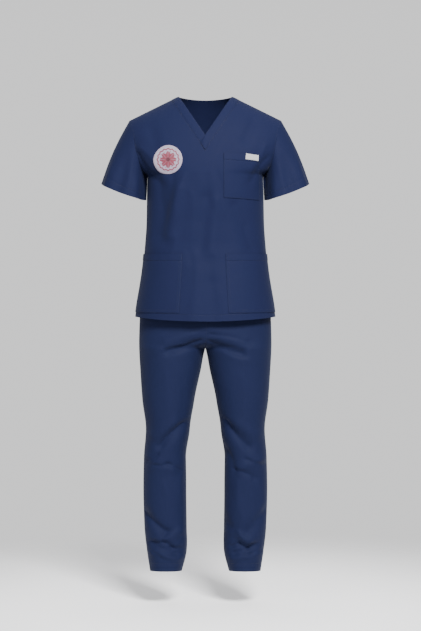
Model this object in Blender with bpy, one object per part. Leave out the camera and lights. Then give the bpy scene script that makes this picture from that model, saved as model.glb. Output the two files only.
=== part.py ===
"""Scrub set: a V-neck short-sleeved top over straight trousers, in the pose in which it is worn.

Metres, +Z up. The origin is on the centre line, level with the top of the shoulder seams at the neck.
The front faces -Y. "Right" and "left" are the wearer's own, so the wearer's left is at +X.
"""
import math

import bmesh
import bpy
from mathutils import Vector

# Cloth and seams
CLOTH = 0.0015
BAND_CLOTH = 0.0019
PATCH_CLOTH = 0.0012
SEAM_GAP = 0.0003
LAID_GAP = 0.0006
MITRE_LIMIT = 0.45

# Outline of the top seen from the front
NECK_HALF_WIDTH = 0.083
V_DEPTH = 0.1256
BACK_NECK_DROP = 0.006
BAND_WIDTH = 0.0256
SHOULDER_HALF_WIDTH = 0.236
SHOULDER_DROP = 0.075
ARMPIT_LEVEL = -0.2455
VENT_TOP = -0.586
HEM_SIDE_LEVEL = -0.684
HEM_DIP = 0.0115
VENT_OPENING = 0.006

# Body form, as a half width and two depths of the cloth at each level
FULLNESS = 2.3
TOP_SECTIONS = (
    # level, half_width, front_depth, back_depth
    (0.000, 0.290, 0.100, 0.118),
    (-0.050, 0.282, 0.106, 0.122),
    (-0.100, 0.270, 0.115, 0.126),
    (-0.150, 0.252, 0.123, 0.127),
    (-0.200, 0.224, 0.129, 0.125),
    (-0.230, 0.200, 0.131, 0.122),
    (-0.2455, 0.1795, 0.132, 0.120),
    (-0.290, 0.1812, 0.131, 0.114),
    (-0.340, 0.1822, 0.128, 0.107),
    (-0.400, 0.1835, 0.124, 0.102),
    (-0.450, 0.1870, 0.124, 0.103),
    (-0.490, 0.1905, 0.127, 0.109),
    (-0.540, 0.1960, 0.132, 0.120),
    (-0.586, 0.2030, 0.137, 0.130),
    (-0.640, 0.2125, 0.142, 0.138),
    (-0.700, 0.2210, 0.147, 0.144),
)
RIDGE_ROUNDING = 0.020

# Armhole seen from the front, and the open end of the sleeve
ARMHOLE_TURNS = (
    # half_width, level
    (0.1795, -0.2455),
    (0.1960, -0.2290),
    (0.2080, -0.1960),
    (0.2165, -0.1600),
    (0.2215, -0.1310),
    (0.2290, -0.1000),
)
CUFF_INNER = (0.1910, -0.3200)
CUFF_OUTER = (0.3240, -0.2705)
CUFF_HALF_DEPTH = 0.069
CUFF_FRONT_DIP = 0.008
SLEEVE_CAP_RISE = 0.006

# Pockets, patch and label, placed on the front
CHEST_POCKET = {"left": 0.0560, "right": 0.1660, "top": -0.1806, "bottom": -0.3169, "slant": 0.007}
HIP_POCKET_RIGHT_INNER = 0.366
HIP_POCKET_LEFT_INNER = 0.327
HIP_POCKET_TOP = -0.4897
HIP_POCKET_BOTTOM = -0.6697
HIP_POCKET_OUTER_ANGLE = 86.0
POCKET_BULGE = 0.0015
PATCH_CENTRE = (-0.1133, -0.2012)
PATCH_DIAMETER = 0.0880
LABEL_CENTRE = (0.1417, -0.1936)
LABEL_SIZE = (0.0380, 0.0170)
LABEL_TILT = -6.5

# Trousers
WAIST_LEVEL = -0.455
WAISTBAND_HEIGHT = 0.040
FORK_LEVEL = -0.782
CUFF_LEVEL = -1.4800
LEG_FULLNESS = 2.15
LEG_SECTIONS = (
    # level, side_half_width, leg_centre, front_depth, back_depth
    (-0.455, 0.1780, 0.0000, 0.1130, 0.0900),
    (-0.495, 0.1865, 0.0000, 0.1155, 0.0960),
    (-0.540, 0.1938, 0.0000, 0.1175, 0.1080),
    (-0.600, 0.1985, 0.0000, 0.1185, 0.1200),
    (-0.660, 0.2030, 0.0000, 0.1175, 0.1275),
    (-0.700, 0.2050, 0.0000, 0.1150, 0.1290),
    (-0.735, 0.2062, 0.0300, 0.1120, 0.1270),
    (-0.765, 0.2067, 0.0750, 0.1090, 0.1230),
    (-0.782, 0.2065, 0.1032, 0.1070, 0.1200),
    (-0.850, 0.2030, 0.1085, 0.1010, 0.1090),
    (-0.945, 0.1965, 0.1153, 0.0930, 0.0980),
    (-1.035, 0.1857, 0.1170, 0.0840, 0.0880),
    (-1.125, 0.1920, 0.1262, 0.0760, 0.0870),
    (-1.220, 0.1937, 0.1265, 0.0720, 0.0900),
    (-1.340, 0.1905, 0.1243, 0.0680, 0.0860),
    (-1.420, 0.1820, 0.1203, 0.0660, 0.0780),
    (-1.480, 0.1730, 0.1232, 0.0640, 0.0700),
)

# Folds, each a soft ridge or, where its rise is negative, a trough between two places seen from the front
FRONT_FOLDS = (
    # start_x, start_z, end_x, end_z, rise, half_width
    (-0.125, -0.270, -0.100, -0.450, -0.0045, 0.026),
    (-0.080, -0.262, -0.068, -0.420, 0.0035, 0.024),
    (0.030, -0.400, 0.012, -0.520, 0.0035, 0.024),
    (0.045, -0.330, 0.030, -0.430, -0.0030, 0.022),
    (0.105, -0.345, 0.120, -0.460, -0.0030, 0.024),
    (-0.020, -0.560, -0.028, -0.700, 0.0040, 0.026),
    (0.022, -0.590, 0.026, -0.700, -0.0030, 0.024),
    (-0.165, -0.110, -0.150, -0.165, -0.0030, 0.020),
    (0.170, -0.105, 0.158, -0.160, -0.0030, 0.020),
)
BACK_FOLDS = (
    # start_x, start_z, end_x, end_z, rise, half_width
    (-0.110, -0.250, -0.070, -0.420, -0.0045, 0.028),
    (0.115, -0.255, 0.080, -0.440, -0.0040, 0.028),
    (-0.012, -0.300, -0.005, -0.470, 0.0035, 0.026),
    (-0.060, -0.540, -0.075, -0.700, 0.0045, 0.028),
    (0.052, -0.550, 0.070, -0.700, 0.0040, 0.028),
    (0.000, -0.560, 0.004, -0.700, -0.0035, 0.026),
)
SLEEVE_FOLDS = (
    # around (0 underarm, 0.5 top, 1 underarm), start_along, end_along, rise, half_width_around
    (0.300, 0.20, 1.00, -0.0050, 0.060),
    (0.170, 0.30, 1.00, 0.0030, 0.050),
    (0.400, 0.45, 1.00, 0.0025, 0.045),
    (0.680, 0.25, 1.00, -0.0050, 0.060),
    (0.820, 0.30, 1.00, 0.0030, 0.055),
)
LEG_FRONT_FOLDS = (
    # start_x, start_z, end_x, end_z, rise, half_width
    (0.010, -0.745, 0.115, -0.790, -0.0045, 0.014),
    (0.010, -0.728, 0.120, -0.752, 0.0030, 0.016),
    (0.175, -1.035, 0.110, -1.080, -0.0040, 0.016),
    (0.075, -1.030, 0.130, -1.072, -0.0040, 0.016),
    (0.170, -1.140, 0.110, -1.160, 0.0030, 0.018),
    (0.185, -1.250, 0.120, -1.330, -0.0040, 0.018),
    (0.155, -1.392, 0.090, -1.412, -0.0055, 0.013),
    (0.080, -1.350, 0.130, -1.372, 0.0030, 0.015),
    (0.165, -1.415, 0.085, -1.432, 0.0035, 0.013),
)
LEG_BACK_FOLDS = (
    # start_x, start_z, end_x, end_z, rise, half_width
    (0.015, -0.800, 0.120, -0.840, -0.0050, 0.018),
    (0.040, -0.780, 0.140, -0.800, 0.0035, 0.018),
    (0.165, -1.050, 0.085, -1.072, -0.0050, 0.016),
    (0.170, -1.085, 0.090, -1.098, 0.0035, 0.016),
    (0.080, -1.380, 0.150, -1.402, -0.0045, 0.014),
    (0.160, -1.425, 0.095, -1.438, 0.0035, 0.013),
)

# How folds fade towards seams, as shares of the way across a panel or up to the shoulder
SIDE_FADE = (0.84, 0.99)
SHOULDER_FADE = (0.75, 0.98)
LEG_EDGE_FADE = 0.15
SLEEVE_FOLD_GROWTH = 0.7

# How finely each cloth is divided
HALF_COLUMNS = 11
LOWER_ROWS = 12
UPPER_ROWS = 9
SLEEVE_RINGS = 7
LEG_COLUMNS = 8
LEG_ROWS = 34
WAISTBAND_SIDES = 40
POCKET_CELL = 0.0170
CHEST_POCKET_CELL = 0.0125
HIP_POCKET_COLUMNS = 10
PATCH_SIDES = 28
PATCH_RINGS = 3
BAND_COLUMNS = 2
LABEL_COLUMNS = 3
GRADIENT_STEP = 0.0001
SAME_PLACE = 1e-9
HALVINGS = 50
LAP_EASE = 0.125

# Finishes, each a colour and a roughness
NAVY_TOP = ((0.0185, 0.0335, 0.1080, 1.0), 0.80)
NAVY_TROUSERS = ((0.0165, 0.0300, 0.0930, 1.0), 0.82)
PALE_PATCH = ((0.80, 0.66, 0.70, 1.0), 0.70)
WHITE_LABEL = ((0.80, 0.80, 0.80, 1.0), 0.65)

FRONT = -1
BACK = 1


def smooth_step(low, high, value):
    share = min(1.0, max(0.0, (value - low) / (high - low)))
    return share * share * (3.0 - 2.0 * share)


def mix(start, end, share):
    return start + (end - start) * share


def secant(table, row, column):
    rise = table[row + 1][column] - table[row][column]
    return rise / (table[row + 1][0] - table[row][0])


def knot_slope(table, row, column):
    """Slope at a row that lets the smooth curve neither overshoot nor wave."""
    if row in (0, len(table) - 1):
        return secant(table, min(row, len(table) - 2), column)
    before = secant(table, row - 1, column)
    after = secant(table, row, column)
    if before * after <= 0.0:
        return 0.0
    return 2.0 * before * after / (before + after)


def read_table(table, place):
    """The columns of a table at a place in its first column, which falls or rises steadily."""
    down = -1.0 if table[1][0] < table[0][0] else 1.0
    place = down * min(max(down * place, down * table[0][0]), down * table[-1][0])
    row = 0
    while row < len(table) - 2 and down * place > down * table[row + 1][0]:
        row += 1
    step = table[row + 1][0] - table[row][0]
    share = (place - table[row][0]) / step
    values = []
    for column in range(1, len(table[0])):
        start, end = table[row][column], table[row + 1][column]
        leave = knot_slope(table, row, column) * step
        arrive = knot_slope(table, row + 1, column) * step
        values.append(start * (1 + 2 * share) * (1 - share) ** 2 + leave * share * (1 - share) ** 2
                      + end * share ** 2 * (3 - 2 * share) + arrive * share ** 2 * (share - 1))
    return values


def fold_rise(folds, x, z):
    """How far the folds lift the cloth at a place, each fading to its sides and past its ends."""
    rise = 0.0
    for start_x, start_z, end_x, end_z, height, half_width in folds:
        run_x, run_z = end_x - start_x, end_z - start_z
        share = ((x - start_x) * run_x + (z - start_z) * run_z) / (run_x ** 2 + run_z ** 2)
        share = min(1.0, max(0.0, share))
        away = math.hypot(x - start_x - share * run_x, z - start_z - share * run_z)
        rise += height * math.exp(-(away / half_width) ** 2)
    return rise


def softened(x):
    return math.hypot(x, RIDGE_ROUNDING)


def ridge_level(x):
    """Level of the shoulder seam, which runs along the top of the shoulders."""
    run = softened(SHOULDER_HALF_WIDTH) - softened(NECK_HALF_WIDTH)
    return SHOULDER_DROP * (softened(NECK_HALF_WIDTH) - softened(x)) / run


def torso_terms(x, z, face):
    half_width, front_depth, back_depth = read_table(TOP_SECTIONS, z)
    depth = front_depth if face == FRONT else back_depth
    rise = max(0.0, (z - ARMPIT_LEVEL) / (ridge_level(x) - ARMPIT_LEVEL))
    room = (1.0 - abs(x / half_width) ** FULLNESS) * (1.0 - rise ** FULLNESS)
    return depth, room, abs(x / half_width), rise


def torso_point(x, z, face):
    depth, room, _, _ = torso_terms(x, z, face)
    return Vector((x, face * depth * max(0.0, room) ** (1.0 / FULLNESS), z))


def torso_normal(point, face):
    """Direction out of the cloth, from how fast each step leaves the body form."""
    def excess(x, z):
        depth, room, _, _ = torso_terms(x, z, face)
        return (abs(point.y) / depth) ** FULLNESS - room

    step = GRADIENT_STEP
    slope_x = (excess(point.x + step, point.z) - excess(point.x - step, point.z)) / (2 * step)
    slope_z = (excess(point.x, point.z + step) - excess(point.x, point.z - step)) / (2 * step)
    depth = torso_terms(point.x, point.z, face)[0]
    slope_y = FULLNESS * abs(point.y) ** (FULLNESS - 1.0) / depth ** FULLNESS
    return Vector((slope_x, face * slope_y, slope_z)).normalized()


def torso_skin(x, z, face, lift=0.0):
    """Point of the top's outer face, with its folds, and the direction out of it."""
    point = torso_point(x, z, face)
    normal = torso_normal(point, face)
    _, _, across, rise = torso_terms(x, z, face)
    fade = (1.0 - smooth_step(*SIDE_FADE, across)) * (1.0 - smooth_step(*SHOULDER_FADE, rise))
    folds = FRONT_FOLDS if face == FRONT else BACK_FOLDS
    return point + normal * (fold_rise(folds, x, z) * fade + lift), normal


def keep_behind_seam(point, face, gap=SEAM_GAP / 2):
    """Hold a point on its own side of the side and shoulder seams."""
    return Vector((point.x, face * max(face * point.y, gap), point.z))


def vent_gap(z):
    """Half the distance between front and back at the side, which widens below the vent's top."""
    return SEAM_GAP / 2 + VENT_OPENING * smooth_step(VENT_TOP, HEM_SIDE_LEVEL, z)


def neck_drop(width):
    """How far below the opening's point the outer edge of a band of this width comes to its point."""
    return width * math.hypot(NECK_HALF_WIDTH, V_DEPTH) / NECK_HALF_WIDTH


def front_neck_level(x, width):
    return -V_DEPTH - neck_drop(width) + abs(x) * V_DEPTH / NECK_HALF_WIDTH


def neck_corner(width):
    """Where the outer edge of the band crosses the shoulder seam, found by halving."""
    low, high = NECK_HALF_WIDTH, SHOULDER_HALF_WIDTH
    for _ in range(HALVINGS):
        middle = (low + high) / 2
        if front_neck_level(middle, width) < ridge_level(middle):
            low = middle
        else:
            high = middle
    return low


def neck_edge(share, width, face):
    """Place seen from the front, a share of the way from the centre line to the shoulder seam."""
    corner = neck_corner(width) if width > 0.0 else NECK_HALF_WIDTH
    if share >= 1.0:
        return corner, ridge_level(corner)
    x = corner * share
    if face == FRONT:
        return x, front_neck_level(x, width)
    return x, mix(-BACK_NECK_DROP - width, ridge_level(corner), share ** 2)


def column_shares():
    """Shares of the half width, closer together round the side, with one at the band's corner."""
    shares = []
    for column in range(HALF_COLUMNS + 1):
        angle = math.pi / 2 * column / HALF_COLUMNS
        shares.append(math.sin(angle) ** (2.0 / FULLNESS))
    corner = neck_corner(BAND_WIDTH) / read_table(TOP_SECTIONS, ARMPIT_LEVEL)[0]
    nearest = min(range(len(shares)), key=lambda column: abs(shares[column] - corner))
    shares[nearest] = corner
    return shares, nearest


def top_edge(share, corner_share, face):
    """Upper edge of a panel: the neck seam, then the shoulder seam."""
    if share <= corner_share + SAME_PLACE:
        return neck_edge(min(1.0, share / corner_share), BAND_WIDTH, face)
    along = (share - corner_share) / (1.0 - corner_share)
    x = mix(neck_corner(BAND_WIDTH), SHOULDER_HALF_WIDTH, along)
    return x, ridge_level(x)


def armhole_edge(share):
    """Place on the armhole seen from the front, a share of its length up from the armpit."""
    turns = list(ARMHOLE_TURNS) + [(SHOULDER_HALF_WIDTH, ridge_level(SHOULDER_HALF_WIDTH))]
    length = 0.0
    table = [(0.0,) + turns[0]]
    for before, after in zip(turns, turns[1:]):
        length += math.dist(before, after)
        table.append((length,) + after)
    if share >= 1.0:
        return turns[-1]
    return tuple(read_table(table, share * length))


def upper_place(share, up, corner_share, face):
    """Place between the armpit row, the upper edge, the centre line and the armhole."""
    centre_foot, armpit = (0.0, ARMPIT_LEVEL), ARMHOLE_TURNS[0]
    centre_top, tip = top_edge(0.0, corner_share, face), armhole_edge(1.0)
    above, side = top_edge(share, corner_share, face), armhole_edge(up)
    place = []
    for axis in range(2):
        foot = mix(centre_foot[axis], armpit[axis], share)
        head = mix(centre_top[axis], tip[axis], share)
        centre = mix(centre_foot[axis], centre_top[axis], up)
        place.append(mix(foot, above[axis], up) + mix(centre, side[axis], share) - mix(foot, head, up))
    return tuple(place)


def hem_level(share):
    return HEM_SIDE_LEVEL - HEM_DIP * (1.0 - share ** 2)


def panel_places(face):
    """Rows of places seen from the front, from the hem up, for the half at +X."""
    shares, corner = column_shares()
    rows = []
    for row in range(LOWER_ROWS):
        places = []
        for share in shares:
            z = mix(hem_level(share), ARMPIT_LEVEL, row / LOWER_ROWS)
            places.append((read_table(TOP_SECTIONS, z)[0] * share, z))
        rows.append(places)
    for row in range(UPPER_ROWS + 1):
        up = math.sin(math.pi / 2 * row / UPPER_ROWS)
        rows.append([upper_place(share, up, shares[corner], face) for share in shares])
    return rows


def whole_rows(places):
    """Both halves of each row, from -X to +X."""
    return [[(-x, z) for x, z in reversed(row[1:])] + list(row) for row in places]


def panel_surface(face):
    """Outer points of a front or back, and the directions out of it."""
    points, normals = [], []
    for row in whole_rows(panel_places(face)):
        skins = [torso_skin(x, z, face) for x, z in row]
        points.append([keep_behind_seam(point, face, vent_gap(point.z)) for point, _ in skins])
        normals.append([normal for _, normal in skins])
    return points, normals


def grid_verts(work, rows):
    return [[work.verts.new(point) for point in row] for row in rows]


def bridge(work, first, second, looped):
    """Faces between two matching lines of points, which may close on themselves."""
    for index in range(len(first) if looped else len(first) - 1):
        after = (index + 1) % len(first)
        work.faces.new((first[index], first[after], second[after], second[index]))


def grid_mesh(name, outer, inner, looped, finish):
    """A closed wall between two matching grids of points, whose rows may close on themselves."""
    work = bmesh.new()
    outside, inside = grid_verts(work, outer), grid_verts(work, inner)
    for side in (outside, inside):
        for lower, upper in zip(side, side[1:]):
            bridge(work, lower, upper, looped)
    for row in (0, -1):
        bridge(work, outside[row], inside[row], looped)
    if not looped:
        for column in (0, -1):
            bridge(work, [row[column] for row in outside], [row[column] for row in inside], False)
    finish_part(name, work, finish)


def finish_part(name, work, finish):
    """Turn the faces outwards and make the solid's object."""
    bmesh.ops.recalc_face_normals(work, faces=work.faces)
    bmesh.ops.triangulate(work, faces=work.faces)
    mesh = bpy.data.meshes.new(name)
    work.to_mesh(mesh)
    work.free()
    mesh.materials.append(make_material(name, *finish))
    part = bpy.data.objects.new(name, mesh)
    bpy.context.scene.collection.objects.link(part)


def make_material(name, colour, roughness):
    material = bpy.data.materials.new(name)
    material.use_nodes = True
    shader = material.node_tree.nodes["Principled BSDF"]
    shader.inputs["Base Color"].default_value = colour
    shader.inputs["Roughness"].default_value = roughness
    shader.inputs["Metallic"].default_value = 0.0
    return material


def armhole_loop(front, back, side):
    """Points round an armhole, from the armpit up the front, over the top and down the back."""
    column = -1 if side > 0 else 0
    up_front = [row[column] for row in front[LOWER_ROWS:]]
    down_back = [row[column] for row in reversed(back[LOWER_ROWS:])]
    armpit = Vector((up_front[0].x, 0.0, up_front[0].z))
    tip = Vector((up_front[-1].x, 0.0, up_front[-1].z))
    return [armpit] + up_front[1:-1] + [tip] + down_back[1:-1]


def cuff_point(around, side):
    """Place on the sleeve's open end, from the underarm round the front."""
    middle = [(inner + outer) / 2 for inner, outer in zip(CUFF_INNER, CUFF_OUTER)]
    reach = [(inner - outer) / 2 for inner, outer in zip(CUFF_INNER, CUFF_OUTER)]
    angle = math.tau * around
    forward = math.sin(angle)
    x = middle[0] + reach[0] * math.cos(angle)
    z = middle[1] + reach[1] * math.cos(angle) - CUFF_FRONT_DIP * max(0.0, forward)
    return Vector((side * x, -CUFF_HALF_DEPTH * forward, z))


def loop_shares(loop):
    """Share of the way round at each point, with the tip at one half."""
    half = len(loop) // 2
    lengths = [(after - before).length for before, after in zip(loop, loop[1:] + loop[:1])]
    front, back = sum(lengths[:half]), sum(lengths[half:])
    shares = [0.0]
    for index, length in enumerate(lengths[:-1]):
        shares.append(shares[-1] + 0.5 * length / (front if index < half else back))
    return shares


def sleeve_fold_rise(around, along):
    rise = 0.0
    for centre, start, end, height, half_width in SLEEVE_FOLDS:
        away = (around - centre) / half_width
        grown = smooth_step(start, mix(start, end, SLEEVE_FOLD_GROWTH), along)
        rise += height * math.exp(-away * away) * grown
    return rise


def tube_normal(rings, ring, column, side):
    """Direction out of a sleeve at one of its points."""
    before, after = rings[max(ring - 1, 0)], rings[min(ring + 1, len(rings) - 1)]
    around = rings[ring][(column + 1) % len(rings[ring])] - rings[ring][column - 1]
    along = after[column] - before[column]
    return (along.cross(around) * side).normalized()


def sleeve_surface(loop, side):
    """Outer rings of a sleeve, from the armhole to the hem, and the directions out of it."""
    shares = loop_shares(loop)
    bare = []
    for ring in range(SLEEVE_RINGS + 1):
        along = ring / SLEEVE_RINGS
        points = []
        for place, around in zip(loop, shares):
            point = place.lerp(cuff_point(around, side), along)
            cap = SLEEVE_CAP_RISE * math.sin(math.pi * along) * max(0.0, -math.cos(math.tau * around))
            points.append(point + Vector((side * cap, 0.0, cap / 2)))
        bare.append(points)
    normals, folded = [], []
    for ring, points in enumerate(bare):
        along = ring / SLEEVE_RINGS
        outward = [tube_normal(bare, ring, index, side) for index in range(len(loop))]
        folded.append([point + normal * sleeve_fold_rise(around, along)
                       for point, normal, around in zip(points, outward, shares)])
        normals.append(outward)
    return folded, normals


def mitre(first, second):
    """Step from the outer to the inner face that two walls share where they meet."""
    total = first + second
    return total.normalized() * (-CLOTH / max(total.length / 2, MITRE_LIMIT))


def sleeve_start(ring, next_ring, walls):
    """First ring of a sleeve, moved off the panels by the seam's gap."""
    moved = []
    for index, (point, wall) in enumerate(zip(ring, walls)):
        after = ring[(index + 1) % len(ring)]
        away = wall.cross(after - ring[index - 1]).normalized()
        if away.dot(next_ring[index] - point) < 0:
            away.negate()
        moved.append(point + away * SEAM_GAP)
    return moved


def build_sleeve(word, side, outer, inner, normals):
    """One sleeve, whose wall meets the front's and back's at the armhole. Their inner edges are set to it."""
    column = -1 if side > 0 else 0
    loop = armhole_loop(outer[FRONT], outer[BACK], side)
    rings, ring_normals = sleeve_surface(loop, side)
    panel_normals = armhole_loop(normals[FRONT], normals[BACK], side)
    walls = [mitre(panel.normalized(), sleeve) for panel, sleeve in zip(panel_normals, ring_normals[0])]
    for step in range(UPPER_ROWS + 1):
        row = LOWER_ROWS + step
        inner[FRONT][row][column] = outer[FRONT][row][column] + walls[step]
        inner[BACK][row][column] = outer[BACK][row][column] + walls[-step]
    inner_rings = inner_points(rings, ring_normals, CLOTH)
    rings[0] = sleeve_start(rings[0], rings[1], walls)
    inner_rings[0] = [point + wall for point, wall in zip(rings[0], walls)]
    grid_mesh("sleeve_" + word, rings, inner_rings, True, NAVY_TOP)


def build_top():
    surfaces = {face: panel_surface(face) for face in (FRONT, BACK)}
    outer = {face: points for face, (points, _) in surfaces.items()}
    normals = {face: directions for face, (_, directions) in surfaces.items()}
    inner = {face: inner_points(outer[face], normals[face], CLOTH) for face in surfaces}
    build_sleeve("left", 1, outer, inner, normals)
    build_sleeve("right", -1, outer, inner, normals)
    for name, face in (("top_front", FRONT), ("top_back", BACK)):
        held = [[keep_behind_seam(point, face, vent_gap(point.z)) for point in row] for row in inner[face]]
        grid_mesh(name, outer[face], held, False, NAVY_TOP)


def inner_points(rows, normals, thickness):
    return [[point - normal * thickness for point, normal in zip(row, row_normals)]
            for row, row_normals in zip(rows, normals)]


def band_stations(side):
    """Pairs of inner and outer places along one half of the neck band, from the V to the centre back."""
    shares, corner = column_shares()
    steps = [share / shares[corner] for share in shares[:corner + 1]]
    width = BAND_WIDTH - SEAM_GAP
    front = [(neck_edge(step, 0.0, FRONT), neck_edge(step, width, FRONT), FRONT) for step in steps[1:]]
    back = [(neck_edge(step, 0.0, BACK), neck_edge(step, width, BACK), BACK) for step in steps[:-1]]
    reach = neck_drop(width) / 2
    lap_x = reach * NECK_HALF_WIDTH / V_DEPTH
    if side > 0:
        near = LAP_EASE * shares[1]
        lap = [((0.0, -V_DEPTH), (-lap_x, -V_DEPTH - reach), FRONT),
               ((NECK_HALF_WIDTH * near, -V_DEPTH * (1.0 - near)), neck_edge(0.0, width, FRONT), FRONT)]
    else:
        share = 2 * SEAM_GAP / math.hypot(NECK_HALF_WIDTH, V_DEPTH)
        off_x, off_z = NECK_HALF_WIDTH * share, V_DEPTH * share
        lap = [((off_x, off_z - V_DEPTH), (lap_x + off_x, off_z - V_DEPTH - reach), FRONT)]
    return lap + front + back[::-1]


def build_band(name, side):
    """Half of the neck band. The wearer's left half laps over the right one at the V."""
    outer, inner = [], []
    for opening, seam, face in band_stations(side):
        outer_row, inner_row = [], []
        for step in range(BAND_COLUMNS + 1):
            x = side * mix(opening[0], seam[0], step / BAND_COLUMNS)
            z = mix(opening[1], seam[1], step / BAND_COLUMNS)
            if z > ridge_level(x) - GRADIENT_STEP:
                z = ridge_level(x)
            skin, normal = torso_skin(x, z, face)
            outer_row.append(skin + normal * (BAND_CLOTH - CLOTH))
            inner_row.append(skin - normal * CLOTH)
        outer.append(outer_row)
        inner.append(inner_row)
    for grid in (outer, inner):
        grid[-1] = [Vector((side * SEAM_GAP / 2, point.y, point.z)) for point in grid[-1]]
    grid_mesh(name, outer, inner, False, NAVY_TOP)


def laid_on_front(name, rows, thickness, lift, finish, bulge=0.0):
    """A flat piece on the front, from rows of places seen from the front."""
    outer, inner = [], []
    for row_index, row in enumerate(rows):
        up = row_index / (len(rows) - 1)
        outer_row, inner_row = [], []
        for index, (x, z) in enumerate(row):
            across = index / (len(row) - 1)
            free = bulge * math.sin(math.pi * across) * math.sin(math.pi / 2 * up)
            skin, normal = torso_skin(x, z, FRONT, lift + free)
            inner_row.append(keep_behind_seam(skin, FRONT))
            outer_row.append(keep_behind_seam(skin + normal * thickness, FRONT))
        outer.append(outer_row)
        inner.append(inner_row)
    grid_mesh(name, outer, inner, False, finish)


def spread_round(start_share, end_share, columns):
    """Shares of the half width that keep the columns evenly apart round the body."""
    start = math.asin(start_share ** (FULLNESS / 2))
    end = math.asin(end_share ** (FULLNESS / 2))
    return [math.sin(mix(start, end, column / columns)) ** (2 / FULLNESS) for column in range(columns + 1)]


def build_chest_pocket():
    """The chest pocket, whose top and bottom edges fall slightly towards the side."""
    left, right, bottom, top = (CHEST_POCKET[key] for key in ("left", "right", "bottom", "top"))
    slope = CHEST_POCKET["slant"] / (right - left)
    half_width = read_table(TOP_SECTIONS, ARMPIT_LEVEL)[0]
    columns = round((right - left) / CHEST_POCKET_CELL)
    count = round((top - bottom) / CHEST_POCKET_CELL)
    across = [half_width * share for share in spread_round(left / half_width, right / half_width, columns)]
    rows = []
    for row in range(count + 1):
        level = mix(bottom, top, row / count)
        rows.append([(x, level - slope * (x - left)) for x in across])
    laid_on_front("chest_pocket", rows, CLOTH, LAID_GAP, NAVY_TOP, POCKET_BULGE)


def build_hip_pocket(name, side, inner_share):
    outer_share = math.sin(math.radians(HIP_POCKET_OUTER_ANGLE)) ** (2 / FULLNESS)
    shares = spread_round(inner_share, outer_share, HIP_POCKET_COLUMNS)
    count = round((HIP_POCKET_TOP - HIP_POCKET_BOTTOM) / POCKET_CELL)
    rows = []
    for row in range(count + 1):
        z = mix(HIP_POCKET_BOTTOM, HIP_POCKET_TOP, row / count)
        half_width = read_table(TOP_SECTIONS, z)[0]
        rows.append([(side * half_width * share, z) for share in shares])
    laid_on_front(name, rows, CLOTH, LAID_GAP, NAVY_TOP, POCKET_BULGE)


def build_patch():
    """A round patch: rings of places about its centre, closed over the middle."""
    outer, inner = [], []
    for ring in range(PATCH_RINGS, 0, -1):
        radius = PATCH_DIAMETER / 2 * ring / PATCH_RINGS
        turns = [math.tau * index / PATCH_SIDES for index in range(PATCH_SIDES)]
        places = [(PATCH_CENTRE[0] + radius * math.cos(turn), PATCH_CENTRE[1] + radius * math.sin(turn))
                  for turn in turns]
        outer.append([torso_skin(x, z, FRONT, LAID_GAP + PATCH_CLOTH)[0] for x, z in places])
        inner.append([torso_skin(x, z, FRONT, LAID_GAP)[0] for x, z in places])
    disc_mesh("chest_patch", outer, inner, PALE_PATCH)


def disc_mesh(name, outer, inner, finish):
    """A closed round wall between two sets of rings, each from the rim to the ring round the middle."""
    work = bmesh.new()
    sides = [grid_verts(work, rings) for rings in (outer, inner)]
    for rings in sides:
        for wide, narrow in zip(rings, rings[1:]):
            bridge(work, wide, narrow, True)
        last = rings[-1]
        middle = work.verts.new(sum((vert.co for vert in last), Vector()) / len(last))
        for vert, after in zip(last, last[1:] + last[:1]):
            work.faces.new((vert, after, middle))
    bridge(work, sides[0][0], sides[1][0], True)
    finish_part(name, work, finish)


def build_label():
    """The bare label, which lies slightly turned on the top of the chest pocket."""
    turn = math.radians(LABEL_TILT)
    rows = []
    for up in (-0.5, 0.5):
        places = []
        for step in range(LABEL_COLUMNS + 1):
            x = LABEL_SIZE[0] * (step / LABEL_COLUMNS - 0.5)
            z = LABEL_SIZE[1] * up
            places.append((LABEL_CENTRE[0] + x * math.cos(turn) - z * math.sin(turn),
                           LABEL_CENTRE[1] + x * math.sin(turn) + z * math.cos(turn)))
        rows.append(places)
    lift = LAID_GAP + POCKET_BULGE + CLOTH + LAID_GAP
    laid_on_front("pocket_label", rows, PATCH_CLOTH, lift, WHITE_LABEL)


def leg_terms(z, face):
    side, centre, front_depth, back_depth = read_table(LEG_SECTIONS, z)
    return side, centre, front_depth if face == FRONT else back_depth


def leg_point(across, z, face):
    """Point from the inner edge (0) to the side seam (1), and the direction out of the cloth."""
    side, centre, depth = leg_terms(z, face)
    half = side - centre
    reach = min(1.0, centre / half)
    start = -math.asin(reach ** (LEG_FULLNESS / 2))
    angle = mix(start, math.pi / 2, across)
    x = centre + half * math.copysign(abs(math.sin(angle)) ** (2 / LEG_FULLNESS), angle)
    return Vector((x, face * depth * max(0.0, math.cos(angle)) ** (2 / LEG_FULLNESS), z))


def leg_normal(point, face):
    def excess(x, z):
        side, centre, depth = leg_terms(z, face)
        return (abs(point.y) / depth) ** LEG_FULLNESS + abs((x - centre) / (side - centre)) ** LEG_FULLNESS

    step = GRADIENT_STEP
    slope_x = (excess(point.x + step, point.z) - excess(point.x - step, point.z)) / (2 * step)
    slope_z = (excess(point.x, point.z + step) - excess(point.x, point.z - step)) / (2 * step)
    depth = leg_terms(point.z, face)[2]
    slope_y = LEG_FULLNESS * abs(point.y) ** (LEG_FULLNESS - 1.0) / depth ** LEG_FULLNESS
    return Vector((slope_x, face * slope_y, slope_z)).normalized()


def leg_levels():
    """Levels of the rows, with one where the legs part."""
    above = round(LEG_ROWS * (WAIST_LEVEL - FORK_LEVEL) / (WAIST_LEVEL - CUFF_LEVEL))
    upper = [mix(WAIST_LEVEL, FORK_LEVEL, row / above) for row in range(above)]
    below = LEG_ROWS - above
    return upper + [mix(FORK_LEVEL, CUFF_LEVEL, row / below) for row in range(below + 1)]


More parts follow.
